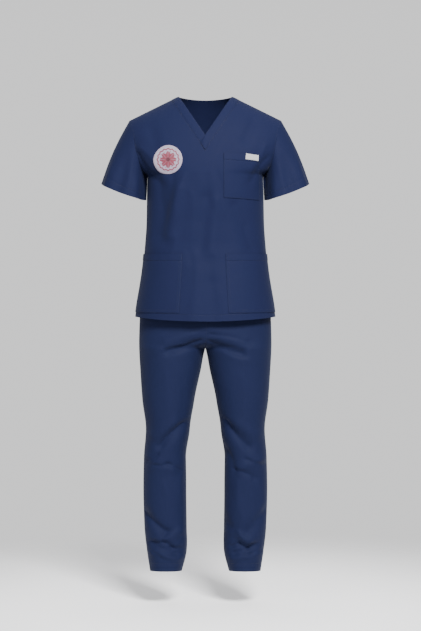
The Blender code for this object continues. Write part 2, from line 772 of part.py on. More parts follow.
def build_leg_panel(name, side, face):
    folds = LEG_FRONT_FOLDS if face == FRONT else LEG_BACK_FOLDS
    outer, inner = [], []
    for z in leg_levels():
        outer_row, inner_row = [], []
        for column in range(LEG_COLUMNS + 1):
            across = column / LEG_COLUMNS
            point = leg_point(across, z, face)
            normal = leg_normal(point, face)
            fade = smooth_step(0.0, LEG_EDGE_FADE, across) * smooth_step(0.0, LEG_EDGE_FADE, 1.0 - across)
            skin = point + normal * (fold_rise(folds, point.x, z) * fade)
            outer_row.append(leg_held(skin, side, face))
            inner_row.append(leg_held(skin - normal * CLOTH, side, face))
        outer.append(outer_row)
        inner.append(inner_row)
    grid_mesh(name, outer, inner, False, NAVY_TROUSERS)


def leg_held(point, side, face):
    """Hold a point on its own side of the seams, and mirror it to its leg."""
    held = keep_behind_seam(point, face)
    return Vector((side * max(held.x, SEAM_GAP / 2), held.y, held.z))


def fullness_power(value):
    return math.copysign(abs(value) ** (2 / LEG_FULLNESS), value)


def waist_ring(wall, z):
    """Points round the waist, a wall's thickness in from the outer face."""
    side, _, front_depth = leg_terms(WAIST_LEVEL, FRONT)
    back_depth = leg_terms(WAIST_LEVEL, BACK)[2]
    ring = []
    for index in range(WAISTBAND_SIDES):
        angle = math.tau * index / WAISTBAND_SIDES
        depth = front_depth if math.sin(angle) < 0 else back_depth
        x = (side - wall) * fullness_power(math.cos(angle))
        y = (depth - wall) * fullness_power(math.sin(angle))
        ring.append(Vector((x, y, z)))
    return ring


def build_waistband():
    levels = (WAIST_LEVEL + SEAM_GAP, WAIST_LEVEL + WAISTBAND_HEIGHT)
    outer = [waist_ring(0.0, z) for z in levels]
    inner = [waist_ring(CLOTH, z) for z in levels]
    grid_mesh("waistband", outer, inner, True, NAVY_TROUSERS)


def build_trousers():
    for side, side_word in ((1, "left"), (-1, "right")):
        for face, face_word in ((FRONT, "front"), (BACK, "back")):
            build_leg_panel("leg_%s_%s" % (face_word, side_word), side, face)
    build_waistband()


def clear_scene():
    for part in list(bpy.data.objects):
        bpy.data.objects.remove(part, do_unlink=True)


def main():
    clear_scene()
    build_top()
    build_band("neck_band_left", 1)
    build_band("neck_band_right", -1)
    build_chest_pocket()
    build_hip_pocket("hip_pocket_left", 1, HIP_POCKET_LEFT_INNER)
    build_hip_pocket("hip_pocket_right", -1, HIP_POCKET_RIGHT_INNER)
    build_patch()
    build_label()
    build_trousers()


main()
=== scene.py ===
"""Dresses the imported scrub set: fine cloth shells, creases, hems, stitching, fabric finishes and the stage."""
import functools
import math

import bmesh
import bpy
from bpy.props import FloatProperty, FloatVectorProperty, PointerProperty
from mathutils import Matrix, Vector


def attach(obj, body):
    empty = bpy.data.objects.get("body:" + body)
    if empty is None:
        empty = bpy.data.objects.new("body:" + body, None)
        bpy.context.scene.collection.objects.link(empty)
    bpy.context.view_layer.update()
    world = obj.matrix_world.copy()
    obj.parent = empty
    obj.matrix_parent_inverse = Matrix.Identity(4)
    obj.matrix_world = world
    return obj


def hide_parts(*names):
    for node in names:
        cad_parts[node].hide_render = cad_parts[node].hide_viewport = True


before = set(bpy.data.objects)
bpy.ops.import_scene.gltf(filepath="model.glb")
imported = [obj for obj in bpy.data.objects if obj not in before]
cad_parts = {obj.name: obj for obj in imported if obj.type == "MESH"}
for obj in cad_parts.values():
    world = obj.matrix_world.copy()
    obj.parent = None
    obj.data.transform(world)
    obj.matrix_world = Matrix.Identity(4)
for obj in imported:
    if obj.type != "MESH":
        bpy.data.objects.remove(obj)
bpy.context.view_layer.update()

bl_info = {
    "name": "Scrub set",
    "version": (1, 0, 0),
    "blender": (4, 5, 0),
    "location": "3D View > Sidebar > Scrub set",
    "description": "Makes the cloth, sewing and stage of a navy scrub set on its packed frame",
    "category": "Object",
}

FRONT = -1
BACK = 1

# Outline of the top, seen from the front, in metres from the shoulder line
NECK_HALF_WIDTH = 0.083
V_DEPTH = 0.1256
BACK_NECK_DROP = 0.006
BAND_WIDTH = 0.0256
SHOULDER_HALF_WIDTH = 0.236
SHOULDER_DROP = 0.075
ARMPIT_LEVEL = -0.2455
VENT_TOP = -0.586
HEM_SIDE_LEVEL = -0.684
HEM_DIP = 0.0115
VENT_OPENING = 0.006
FULLNESS = 2.3
RIDGE_ROUNDING = 0.020
TOP_SECTIONS = (
    # level, half_width, front_depth, back_depth
    (0.000, 0.290, 0.100, 0.118),
    (-0.050, 0.282, 0.106, 0.122),
    (-0.100, 0.270, 0.115, 0.126),
    (-0.150, 0.252, 0.123, 0.127),
    (-0.200, 0.224, 0.129, 0.125),
    (-0.230, 0.200, 0.131, 0.122),
    (-0.2455, 0.1795, 0.132, 0.120),
    (-0.290, 0.1812, 0.131, 0.114),
    (-0.340, 0.1822, 0.128, 0.107),
    (-0.400, 0.1835, 0.124, 0.102),
    (-0.450, 0.1870, 0.124, 0.103),
    (-0.490, 0.1905, 0.127, 0.109),
    (-0.540, 0.1960, 0.132, 0.120),
    (-0.586, 0.2030, 0.137, 0.130),
    (-0.640, 0.2125, 0.142, 0.138),
    (-0.700, 0.2210, 0.147, 0.144),
)
ARMHOLE_TURNS = (
    # half_width, level
    (0.1795, -0.2455),
    (0.1960, -0.2290),
    (0.2080, -0.1960),
    (0.2165, -0.1600),
    (0.2215, -0.1310),
    (0.2290, -0.1000),
)
CUFF_INNER = (0.1836, -0.3212)
CUFF_OUTER = (0.3240, -0.2705)
CUFF_HALF_DEPTH = 0.069
CUFF_FRONT_DIP = 0.008
SLEEVE_CAP_RISE = 0.006

# Trousers
WAIST_LEVEL = -0.455
WAISTBAND_HEIGHT = 0.040
FORK_LEVEL = -0.782
CUFF_LEVEL = -1.4800
LEG_FULLNESS = 2.15
LEG_SECTIONS = (
    # level, side_half_width, leg_centre, front_depth, back_depth
    (-0.455, 0.1780, 0.0000, 0.1130, 0.0900),
    (-0.495, 0.1865, 0.0000, 0.1155, 0.0960),
    (-0.540, 0.1938, 0.0000, 0.1175, 0.1080),
    (-0.600, 0.1985, 0.0000, 0.1185, 0.1200),
    (-0.660, 0.2030, 0.0000, 0.1175, 0.1275),
    (-0.700, 0.2050, 0.0000, 0.1150, 0.1290),
    (-0.735, 0.2062, 0.0300, 0.1120, 0.1270),
    (-0.765, 0.2067, 0.0750, 0.1090, 0.1230),
    (-0.782, 0.2065, 0.1032, 0.1070, 0.1200),
    (-0.850, 0.2030, 0.1085, 0.1010, 0.1090),
    (-0.945, 0.1965, 0.1153, 0.0930, 0.0980),
    (-1.035, 0.1857, 0.1170, 0.0840, 0.0880),
    (-1.125, 0.1920, 0.1262, 0.0760, 0.0870),
    (-1.220, 0.1937, 0.1265, 0.0720, 0.0900),
    (-1.340, 0.1905, 0.1243, 0.0680, 0.0860),
    (-1.420, 0.1820, 0.1203, 0.0660, 0.0780),
    (-1.480, 0.1730, 0.1232, 0.0640, 0.0700),
)

# Pockets, patch and label
CHEST_POCKET = {"left": 0.0560, "right": 0.1660, "top": -0.1806, "bottom": -0.3169, "slant": 0.007}
HIP_POCKET_RIGHT_INNER = 0.366
HIP_POCKET_LEFT_INNER = 0.327
HIP_POCKET_TOP = -0.4897
HIP_POCKET_BOTTOM = -0.6697
HIP_POCKET_OUTER_ANGLE = 86.0
PATCH_CENTRE = (-0.1133, -0.2012)
PATCH_DIAMETER = 0.0880
LABEL_CENTRE = (0.1417, -0.1936)
LABEL_SIZE = (0.0380, 0.0170)
LABEL_TILT = -6.5

# Creases, listed one by one: soft ridges (positive rise) and troughs between two places seen from the front
FRONT_FOLDS = (
    # start_x, start_z, end_x, end_z, rise, half_width
    (-0.131, -0.290, -0.140, -0.430, -0.0070, 0.025),
    (-0.084, -0.292, -0.108, -0.430, 0.0055, 0.021),
    (0.004, -0.320, -0.014, -0.470, -0.0042, 0.020),
    (0.034, -0.330, 0.018, -0.480, 0.0045, 0.020),
    (0.090, -0.345, 0.140, -0.470, -0.0045, 0.020),
    (-0.030, -0.545, -0.036, -0.700, 0.0045, 0.026),
    (0.022, -0.580, 0.026, -0.700, -0.0040, 0.022),
    (-0.165, -0.110, -0.150, -0.165, -0.0030, 0.020),
    (0.150, -0.080, 0.124, -0.140, -0.0045, 0.016),
)
BACK_FOLDS = (
    # start_x, start_z, end_x, end_z, rise, half_width
    (-0.118, -0.245, -0.072, -0.430, -0.0070, 0.024),
    (0.124, -0.250, 0.084, -0.450, -0.0065, 0.024),
    (-0.012, -0.290, -0.005, -0.470, 0.0050, 0.024),
    (-0.060, -0.530, -0.075, -0.700, 0.0060, 0.025),
    (0.052, -0.545, 0.070, -0.700, 0.0050, 0.025),
    (0.000, -0.550, 0.004, -0.700, -0.0045, 0.024),
)
SLEEVE_FOLDS = (
    # around (0 underarm, 0.5 top, 1 underarm), start_along, end_along, rise, half_width_around
    (0.290, 0.15, 1.00, -0.0070, 0.045),
    (0.170, 0.25, 1.00, 0.0040, 0.040),
    (0.395, 0.40, 1.00, 0.0035, 0.038),
    (0.700, 0.20, 1.00, -0.0070, 0.048),
    (0.820, 0.30, 1.00, 0.0040, 0.045),
)
LEG_FRONT_FOLDS = (
    # start_x, start_z, end_x, end_z, rise, half_width
    (0.012, -0.758, 0.112, -0.790, -0.0060, 0.013),
    (0.012, -0.728, 0.120, -0.756, 0.0040, 0.015),
    (0.068, -1.020, 0.138, -1.082, -0.0060, 0.015),
    (0.098, -1.010, 0.160, -1.050, 0.0035, 0.016),
    (0.170, -1.128, 0.104, -1.152, 0.0045, 0.016),
    (0.186, -1.290, 0.128, -1.352, -0.0055, 0.015),
    (0.160, -1.392, 0.092, -1.416, -0.0065, 0.012),
    (0.080, -1.350, 0.135, -1.374, 0.0045, 0.014),
    (0.165, -1.416, 0.085, -1.436, 0.0045, 0.011),
)
LEG_BACK_FOLDS = (
    # start_x, start_z, end_x, end_z, rise, half_width
    (0.015, -0.800, 0.120, -0.842, -0.0065, 0.016),
    (0.040, -0.778, 0.140, -0.802, 0.0045, 0.016),
    (0.165, -1.048, 0.085, -1.074, -0.0065, 0.015),
    (0.170, -1.085, 0.090, -1.102, 0.0045, 0.015),
    (0.080, -1.380, 0.150, -1.404, -0.0060, 0.013),
    (0.160, -1.425, 0.095, -1.440, 0.0045, 0.012),
)

# Finer creases that the solids leave out, in the same columns as the folds
FRONT_CREASES = (
    (-0.205, -0.185, -0.150, -0.262, -0.0026, 0.0080),
    (-0.196, -0.165, -0.138, -0.236, 0.0018, 0.0100),
    (0.190, -0.195, 0.142, -0.262, -0.0022, 0.0080),
    (0.183, -0.160, 0.140, -0.228, 0.0014, 0.0100),
    (-0.140, -0.252, -0.128, -0.370, -0.0012, 0.0120),
    (-0.045, -0.300, -0.040, -0.420, 0.0010, 0.0130),
    (0.004, -0.255, 0.020, -0.350, -0.0012, 0.0120),
    (-0.092, -0.440, -0.104, -0.486, 0.0012, 0.0110),
    (0.036, -0.500, 0.040, -0.610, 0.0010, 0.0110),
    (-0.048, -0.485, -0.052, -0.640, -0.0010, 0.0120),
    (0.122, -0.406, 0.155, -0.482, -0.0014, 0.0100),
    (-0.100, -0.256, -0.118, -0.345, -0.0024, 0.0160),
    (-0.068, -0.262, -0.092, -0.365, 0.0018, 0.0140),
    (0.036, -0.242, 0.050, -0.328, -0.0014, 0.0100),
)
BACK_CREASES = (
    (-0.190, -0.180, -0.140, -0.258, -0.0024, 0.0080),
    (0.188, -0.175, 0.136, -0.262, -0.0026, 0.0090),
    (-0.060, -0.090, -0.064, -0.190, -0.0014, 0.0150),
    (0.055, -0.080, 0.066, -0.205, -0.0012, 0.0140),
    (-0.040, -0.330, -0.044, -0.480, -0.0013, 0.0120),
    (0.046, -0.360, 0.040, -0.500, 0.0012, 0.0120),
    (-0.130, -0.400, -0.120, -0.520, 0.0014, 0.0130),
    (0.126, -0.420, 0.118, -0.560, -0.0013, 0.0120),
    (0.028, -0.560, 0.034, -0.690, 0.0012, 0.0120),
    (-0.030, -0.570, -0.036, -0.680, 0.0010, 0.0130),
)
SLEEVE_CREASES = (
    (0.235, 0.10, 0.90, 0.0016, 0.026),
    (0.345, 0.40, 1.00, 0.0012, 0.024),
    (0.445, 0.55, 1.00, -0.0014, 0.022),
    (0.570, 0.60, 1.00, -0.0012, 0.026),
    (0.625, 0.20, 0.95, 0.0014, 0.024),
    (0.750, 0.35, 1.00, 0.0016, 0.028),
    (0.095, 0.15, 0.90, -0.0020, 0.026),
    (0.900, 0.20, 0.90, -0.0018, 0.028),
)
LEG_CREASES = {
    "front_right": (
        (0.010, -0.754, 0.109, -0.782, -0.0034, 0.0085),
        (0.060, -0.768, 0.150, -0.786, 0.0014, 0.0090),
        (0.030, -0.722, 0.110, -0.735, -0.0012, 0.0100),
        (0.120, -0.860, 0.105, -0.985, 0.0012, 0.0120),
        (0.070, -0.880, 0.074, -0.990, -0.0010, 0.0110),
        (0.065, -1.015, 0.137, -1.076, -0.0034, 0.0095),
        (0.148, -1.109, 0.176, -1.131, -0.0034, 0.0075),
        (0.153, -1.142, 0.115, -1.139, -0.0032, 0.0072),
        (0.115, -1.139, 0.076, -1.158, -0.0032, 0.0072),
        (0.072, -1.176, 0.078, -1.230, 0.0012, 0.0090),
        (0.130, -1.200, 0.118, -1.290, 0.0014, 0.0110),
        (0.190, -1.296, 0.121, -1.346, -0.0034, 0.0085),
        (0.132, -1.365, 0.105, -1.346, -0.0024, 0.0070),
        (0.168, -1.383, 0.130, -1.382, -0.0042, 0.0072),
        (0.130, -1.382, 0.103, -1.398, -0.0042, 0.0075),
        (0.103, -1.398, 0.078, -1.404, -0.0036, 0.0070),
        (0.161, -1.416, 0.139, -1.431, -0.0030, 0.0075),
        (0.121, -1.420, 0.075, -1.420, -0.0030, 0.0068),
    ),
    "front_left": (
        (0.004, -0.754, 0.110, -0.798, -0.0036, 0.0085),
        (0.004, -0.737, 0.126, -0.759, -0.0030, 0.0085),
        (0.050, -0.786, 0.130, -0.816, 0.0014, 0.0090),
        (0.112, -0.870, 0.118, -0.990, 0.0012, 0.0120),
        (0.061, -1.005, 0.127, -1.082, -0.0036, 0.0095),
        (0.061, -1.092, 0.088, -1.158, -0.0030, 0.0110),
        (0.132, -1.125, 0.182, -1.142, -0.0034, 0.0078),
        (0.094, -1.158, 0.149, -1.180, -0.0030, 0.0080),
        (0.100, -1.200, 0.112, -1.300, 0.0014, 0.0110),
        (0.150, -1.190, 0.160, -1.280, -0.0012, 0.0100),
        (0.062, -1.306, 0.088, -1.346, -0.0022, 0.0130),
        (0.070, -1.338, 0.090, -1.366, -0.0020, 0.0150),
        (0.109, -1.356, 0.131, -1.380, 0.0026, 0.0100),
        (0.082, -1.396, 0.106, -1.388, -0.0044, 0.0072),
        (0.106, -1.388, 0.137, -1.400, -0.0044, 0.0075),
        (0.137, -1.400, 0.150, -1.396, -0.0036, 0.0070),
        (0.122, -1.420, 0.142, -1.420, -0.0036, 0.0066),
        (0.142, -1.420, 0.167, -1.412, -0.0036, 0.0066),
    ),
    "back_right": (
        (0.010, -0.790, 0.070, -0.822, -0.0020, 0.0070),
        (0.030, -0.845, 0.120, -0.866, -0.0014, 0.0080),
        (0.120, -0.560, 0.112, -0.720, -0.0012, 0.0140),
        (0.105, -0.880, 0.112, -1.010, 0.0014, 0.0120),
        (0.075, -1.040, 0.150, -1.056, -0.0022, 0.0060),
        (0.170, -1.072, 0.110, -1.090, -0.0020, 0.0060),
        (0.085, -1.110, 0.140, -1.118, 0.0014, 0.0080),
        (0.130, -1.180, 0.122, -1.300, 0.0014, 0.0120),
        (0.085, -1.372, 0.140, -1.392, -0.0020, 0.0055),
        (0.165, -1.405, 0.110, -1.424, -0.0022, 0.0055),
        (0.085, -1.428, 0.130, -1.440, -0.0016, 0.0050),
    ),
    "back_left": (
        (0.014, -0.796, 0.090, -0.830, -0.0020, 0.0070),
        (0.040, -0.850, 0.130, -0.862, -0.0012, 0.0080),
        (0.100, -0.580, 0.108, -0.730, -0.0012, 0.0140),
        (0.120, -0.890, 0.108, -1.000, 0.0014, 0.0120),
        (0.172, -1.036, 0.090, -1.060, -0.0022, 0.0060),
        (0.080, -1.078, 0.130, -1.092, -0.0018, 0.0060),
        (0.110, -1.150, 0.118, -1.290, 0.0012, 0.0120),
        (0.160, -1.362, 0.100, -1.384, -0.0020, 0.0055),
        (0.080, -1.404, 0.132, -1.416, -0.0020, 0.0055),
        (0.165, -1.430, 0.120, -1.442, -0.0018, 0.0050),
    ),
}

# How the finer creases run
CREASE_STRENGTH = 1.6
CREASE_SHARPNESS = 1.6
CREASE_BOW = 0.06
CREASE_START = 0.75
CREASE_END = 1.30
CREASE_TAPER = 0.6
FOLD_REACH = 3.0
CREASE_REACH = 4.0

# Where folds and creases fade out: shares of the half width and of the way up to the shoulder on the top,
# and shares of the way from the inner edge to the side seam on a leg
FOLD_FADE_ACROSS = (0.84, 0.99)
FOLD_FADE_UP = (0.75, 0.98)
CREASE_FADE_ACROSS = (0.93, 1.0)
CREASE_FADE_UP = (0.86, 0.99)
LEG_FOLD_FADE = (0.15, 0.85)
LEG_CREASE_FADE = (0.06, 0.93)

# Thickness of each cloth, and what its hems, edges and sewing add
CLOTH = 0.0015
HEM_EXTRA = 0.0008
HEM_TURN = 0.020
SLEEVE_HEM = 0.021
SLEEVE_LENGTH = 0.150
CUFF_HEM = 0.025
CUFF_ARCH = 0.006
CUFF_ARCH_START = -1.400
POCKET_HEM = 0.021
STITCH_DIP = 0.00035
STITCH_DIP_WIDTH = 0.0015
SEAM_GAP = 0.00005
SEAM_SLANT = 0.0004
LAID_GAP = 0.0006
MITRE_LIMIT = 0.45
BAND_ROLL = 0.0012
LAP_EASE = 0.012
LAP_RISE = 0.0024
LAP_STEPS = (0.0, 0.15, 0.35, 0.60)
LAP_ROWS = 12
POCKET_BULGE = 0.0010
PATCH_CLOTH = 0.0010
PATCH_RIM = 0.0009
PATCH_RIM_WIDTH = 0.0015
LABEL_CLOTH = 0.0009
LABEL_GAP = 0.0006
GATHER_DEPTH = 0.0016
GATHER_COUNT = 64
WAISTBAND_ROLL = 0.0008
WAISTBAND_STITCHES = (0.28, 0.72)
STITCH_PINCH = 0.07
EASE = 1.02
FOLDED_EDGE = 0.55
PATCH_EDGE = 0.6
STITCH_ROWS = {"hem": 0.0025, "sleeve": 0.008, "cuff": 0.0012, "pocket": 0.0012}
STITCH_CLEAR = {"hem": 0.004, "sleeve": 0.014, "cuff": 0.002, "pocket": 0.0018}

# How finely each cloth is made
BAND_STEPS = 44
BAND_COLUMNS = 8
POCKET_COLUMNS = 26
POCKET_ROWS = 30
PATCH_SIDES = 96
PATCH_RINGS = 16
PATCH_HOLE = 0.90
PATCH_CORE = 0.04
LABEL_ROWS = 6
LABEL_COLUMNS = 12
WAISTBAND_SIDES = 768
WAISTBAND_ROWS = 14
HALF_COLUMNS = 60
LOWER_ROWS = 110
UPPER_ROWS = 56
SLEEVE_RINGS = 44
LEG_COLUMNS = 64
LEG_ROWS = 320
GRADIENT_STEP = 0.0001
SHARP_EDGE = math.radians(55)

# Where the lines of stitching run, in from their edges
VENT_STITCH = 0.006
ARMHOLE_STITCH = 0.004
SEAM_STITCH = 0.0035
BAND_STITCH = 0.0022
POCKET_STITCH = 0.0022
TWIN_SPACING = 0.0065
FORK_STITCH = 0.0030
SIDE_STITCH = 0.0035
LABEL_STITCH = 0.0016
STITCH_LIFT = 0.00006
STITCH_SEED = 7

# Stage: lights are name, place, size and watts
LIGHT_AIM = (0.0, 0.0, -0.85)
LIGHTS = (
    ("key", (1.0, -3.5, 1.8), (1.2, 1.2), 560.0),
    ("fill", (-2.6, -3.2, -0.1), (2.4, 2.8), 60.0),
    ("top", (0.0, 0.9, 2.4), (3.0, 1.6), 50.0),
)
WORLD_LOW = (0.12, (1.000, 1.002, 1.008, 1.0))
WORLD_HIGH = (0.70, (0.42, 0.42, 0.43, 1.0))
WORLD_STRENGTH = 1.0
FLOOR_RADIUS = 3.2
FLOOR_SIDES = 96
FLOOR_FADE = (0.5, 1.7)
CAMERA_PLACE = (0.0162, -6.0, -0.52)
CAMERA_AIM = (0.0162, 0.0, -0.681)

# The design on the round patch
ROSETTE_PETALS = 8
RING_WAVES = 16

# Outer and inner points of each cloth, kept for the sewing that follows them
MADE = {}


def smooth_step(low, high, value):
    share = min(1.0, max(0.0, (value - low) / (high - low)))
    return share * share * (3.0 - 2.0 * share)


def mix(start, end, share):
    return start + (end - start) * share


def secant(table, row, column):
    rise = table[row + 1][column] - table[row][column]
    return rise / (table[row + 1][0] - table[row][0])


def knot_slope(table, row, column):
    """Slope at a row that lets the smooth curve neither overshoot nor wave."""
    if row in (0, len(table) - 1):
        return secant(table, min(row, len(table) - 2), column)
    before = secant(table, row - 1, column)
    after = secant(table, row, column)
    if before * after <= 0.0:
        return 0.0
    return 2.0 * before * after / (before + after)


def read_table(table, place):
    """The columns of a table at a place in its first column, which falls or rises steadily."""
    down = -1.0 if table[1][0] < table[0][0] else 1.0
    place = down * min(max(down * place, down * table[0][0]), down * table[-1][0])
    row = 0
    while row < len(table) - 2 and down * place > down * table[row + 1][0]:
        row += 1
    step = table[row + 1][0] - table[row][0]
    share = (place - table[row][0]) / step
    values = []
    for column in range(1, len(table[0])):
        start, end = table[row][column], table[row + 1][column]
        leave = knot_slope(table, row, column) * step
        arrive = knot_slope(table, row + 1, column) * step
        values.append(start * (1 + 2 * share) * (1 - share) ** 2 + leave * share * (1 - share) ** 2
                      + end * share ** 2 * (3 - 2 * share) + arrive * share ** 2 * (share - 1))
    return values


def fold_rise(folds, x, z):
    """How far the broad folds lift the cloth at a place, each fading to its sides and past its ends."""
    rise = 0.0
    for start_x, start_z, end_x, end_z, height, half_width in folds:
        run_x, run_z = end_x - start_x, end_z - start_z
        share = ((x - start_x) * run_x + (z - start_z) * run_z) / (run_x ** 2 + run_z ** 2)
        share = min(1.0, max(0.0, share))
        away = math.hypot(x - start_x - share * run_x, z - start_z - share * run_z) / half_width
        if away < FOLD_REACH:
            rise += height * math.exp(-away * away)
    return rise


def crease_rise(creases, x, z):
    """How far the finer creases lift the cloth. Each is bowed a little and widens as it runs out."""
    rise = 0.0
    for index, (start_x, start_z, end_x, end_z, height, half_width) in enumerate(creases):
        run_x, run_z = end_x - start_x, end_z - start_z
        length = math.hypot(run_x, run_z)
        share = ((x - start_x) * run_x + (z - start_z) * run_z) / length ** 2
        kept = min(1.0, max(0.0, share))
        bow = CREASE_BOW * length * 4.0 * kept * (1.0 - kept) * (1 if index % 2 else -1)
        across = ((x - start_x) * run_z - (z - start_z) * run_x) / length + bow
        width = half_width * mix(CREASE_START, CREASE_END, kept)
        away = math.hypot(across, (share - kept) * length * CREASE_TAPER) / width
        if away < CREASE_REACH:
            rise += CREASE_STRENGTH * height * math.exp(-away ** CREASE_SHARPNESS)
    return rise


def softened(x):
    return math.hypot(x, RIDGE_ROUNDING)


def ridge_level(x):
    """Level of the shoulder seam, which runs along the top of the shoulders."""
    run = softened(SHOULDER_HALF_WIDTH) - softened(NECK_HALF_WIDTH)
    return SHOULDER_DROP * (softened(NECK_HALF_WIDTH) - softened(x)) / run


@functools.lru_cache(maxsize=200000)
def torso_section(z):
    return read_table(TOP_SECTIONS, z)


def torso_terms(x, z, face):
    half_width, front_depth, back_depth = torso_section(z)
    depth = front_depth if face == FRONT else back_depth
    rise = max(0.0, (z - ARMPIT_LEVEL) / (ridge_level(x) - ARMPIT_LEVEL))
    room = (1.0 - abs(x / half_width) ** FULLNESS) * (1.0 - rise ** FULLNESS)
    return depth, room, abs(x / half_width), rise


def torso_point(x, z, face):
    depth, room, _, _ = torso_terms(x, z, face)
    return Vector((x, face * depth * max(0.0, room) ** (1.0 / FULLNESS), z))


def torso_normal(point, face):
    """Direction out of the cloth, from how fast each step leaves the body form."""
    def excess(x, z):
        depth, room, _, _ = torso_terms(x, z, face)
        return (abs(point.y) / depth) ** FULLNESS - room

    step = GRADIENT_STEP
    slope_x = (excess(point.x + step, point.z) - excess(point.x - step, point.z)) / (2 * step)
    slope_z = (excess(point.x, point.z + step) - excess(point.x, point.z - step)) / (2 * step)
    depth = torso_terms(point.x, point.z, face)[0]
    slope_y = FULLNESS * abs(point.y) ** (FULLNESS - 1.0) / depth ** FULLNESS
    return Vector((slope_x, face * slope_y, slope_z)).normalized()


def torso_skin(x, z, face, lift=0.0):
    """Point of the top's outer face, with its creases, and the direction out of it."""
    point = torso_point(x, z, face)
    normal = torso_normal(point, face)
    _, _, across, rise = torso_terms(x, z, face)
    fade = (1.0 - smooth_step(*FOLD_FADE_ACROSS, across)) * (1.0 - smooth_step(*FOLD_FADE_UP, rise))
    folds, creases = (FRONT_FOLDS, FRONT_CREASES) if face == FRONT else (BACK_FOLDS, BACK_CREASES)
    near = (1.0 - smooth_step(*CREASE_FADE_ACROSS, across)) * (1.0 - smooth_step(*CREASE_FADE_UP, rise))
    raised = fold_rise(folds, x, z) * fade + crease_rise(creases, x, z) * near
    return point + normal * (raised + lift), normal


def keep_behind_seam(point, face, gap=SEAM_GAP / 2):
    """Hold a point on its own side of the side and shoulder seams."""
    return Vector((point.x, face * max(face * point.y, gap), point.z))


def vent_gap(z):
    return SEAM_GAP / 2 + VENT_OPENING * smooth_step(VENT_TOP, HEM_SIDE_LEVEL, z)


def neck_drop(width):
    """How far below the opening's point the outer edge of a band of this width comes to its point."""
    return width * math.hypot(NECK_HALF_WIDTH, V_DEPTH) / NECK_HALF_WIDTH


def front_neck_level(x, width):
    return -V_DEPTH - neck_drop(width) + abs(x) * V_DEPTH / NECK_HALF_WIDTH


def neck_corner(width):
    """Where the outer edge of the band crosses the shoulder seam, found by halving."""
    low, high = NECK_HALF_WIDTH, SHOULDER_HALF_WIDTH
    for _ in range(50):
        middle = (low + high) / 2
        if front_neck_level(middle, width) < ridge_level(middle):
            low = middle
        else:
            high = middle
    return low


def neck_edge(share, width, face):
    """Place seen from the front, a share of the way from the centre line to the shoulder seam."""
    corner = neck_corner(width) if width > 0.0 else NECK_HALF_WIDTH
    if share >= 1.0:
        return corner, ridge_level(corner)
    x = corner * share
    if face == FRONT:
        return x, front_neck_level(x, width)
    return x, mix(-BACK_NECK_DROP - width, ridge_level(corner), share ** 2)


def with_line(places, line, kind, kept=()):
    """These places with five at and beside a line of stitching in place of those too near to them."""
    near = [line + step * STITCH_ROWS[kind] for step in (-2, -1, 0, 1, 2)]
    clear = STITCH_CLEAR[kind]
    near += [place + STITCH_ROWS[kind] for place in kept[:1]]
    return [value for value in places if all(abs(value - place) > clear for place in near) or value in kept] + near


def column_shares():
    """Shares of the half width, closer together round the side, with one at the band's corner."""
    shares = [math.sin(math.pi / 2 * column / HALF_COLUMNS) ** (2.0 / FULLNESS) for column in range(HALF_COLUMNS + 1)]
    corner = neck_corner(BAND_WIDTH) / read_table(TOP_SECTIONS, ARMPIT_LEVEL)[0]
    nearest = min(range(len(shares)), key=lambda column: abs(shares[column] - corner))
    shares[nearest] = corner
    return shares, nearest


def top_edge(share, corner_share, face):
    """Upper edge of a panel: the neck seam, then the shoulder seam."""
    if share <= corner_share + 1e-9:
        return neck_edge(min(1.0, share / corner_share), BAND_WIDTH, face)
    along = (share - corner_share) / (1.0 - corner_share)
    x = mix(neck_corner(BAND_WIDTH), SHOULDER_HALF_WIDTH, along)
    return x, ridge_level(x)


def armhole_table():
    turns = list(ARMHOLE_TURNS) + [(SHOULDER_HALF_WIDTH, ridge_level(SHOULDER_HALF_WIDTH))]
    length = 0.0
    table = [(0.0,) + turns[0]]
    for before, after in zip(turns, turns[1:]):
        length += math.dist(before, after)
        table.append((length,) + after)
    return table


def armhole_edge(share):
    """Place on the armhole seen from the front, a share of its length up from the armpit."""
    table = armhole_table()
    return tuple(read_table(table, share * table[-1][0]))


def upper_place(share, up, corner_share, face):
    """Place between the armpit row, the upper edge, the centre line and the armhole."""
    half_width = read_table(TOP_SECTIONS, ARMPIT_LEVEL)[0]
    below = (half_width * share, ARMPIT_LEVEL)
    above = top_edge(share, corner_share, face)
    centre_top = top_edge(0.0, corner_share, face)
    centre = (0.0, mix(ARMPIT_LEVEL, centre_top[1], up))
    side = armhole_edge(up)
    tip = armhole_edge(1.0)
    place = []
    for axis in range(2):
        across = mix(centre[axis], side[axis], share)
        corners = mix(mix((0.0, ARMPIT_LEVEL)[axis], (half_width, ARMPIT_LEVEL)[axis], share),
                      mix(centre_top[axis], tip[axis], share), up)
        place.append(mix(below[axis], above[axis], up) + across - corners)
    return place


def hem_level(share):
    return HEM_SIDE_LEVEL - HEM_DIP * (1.0 - share ** 2)


def lower_shares():
    """Shares of the way up from the hem, with closer rows on both sides of the hem's stitched line."""
    even = [row / LOWER_ROWS for row in range(LOWER_ROWS)]
    line = HEM_TURN / (ARMPIT_LEVEL - HEM_SIDE_LEVEL)
    return sorted(with_line(even, line, "hem"))


def panel_places(face):
    """Rows of places seen from the front, from the hem up, for the half at +X."""
    shares, corner = column_shares()
    rows = []
    for up in lower_shares():
        places = []
        for share in shares:
            z = mix(hem_level(share), ARMPIT_LEVEL, up)
            places.append((read_table(TOP_SECTIONS, z)[0] * share, z))
        rows.append(places)
    for row in range(UPPER_ROWS + 1):
        up = math.sin(math.pi / 2 * row / UPPER_ROWS)
        rows.append([tuple(upper_place(share, up, shares[corner], face)) for share in shares])
    return rows


def stitched_dip(z, line):
    """The slight trough that a line of sewing pulls into the cloth."""
    away = (z - line) / STITCH_DIP_WIDTH
    return -STITCH_DIP * math.exp(-away * away)


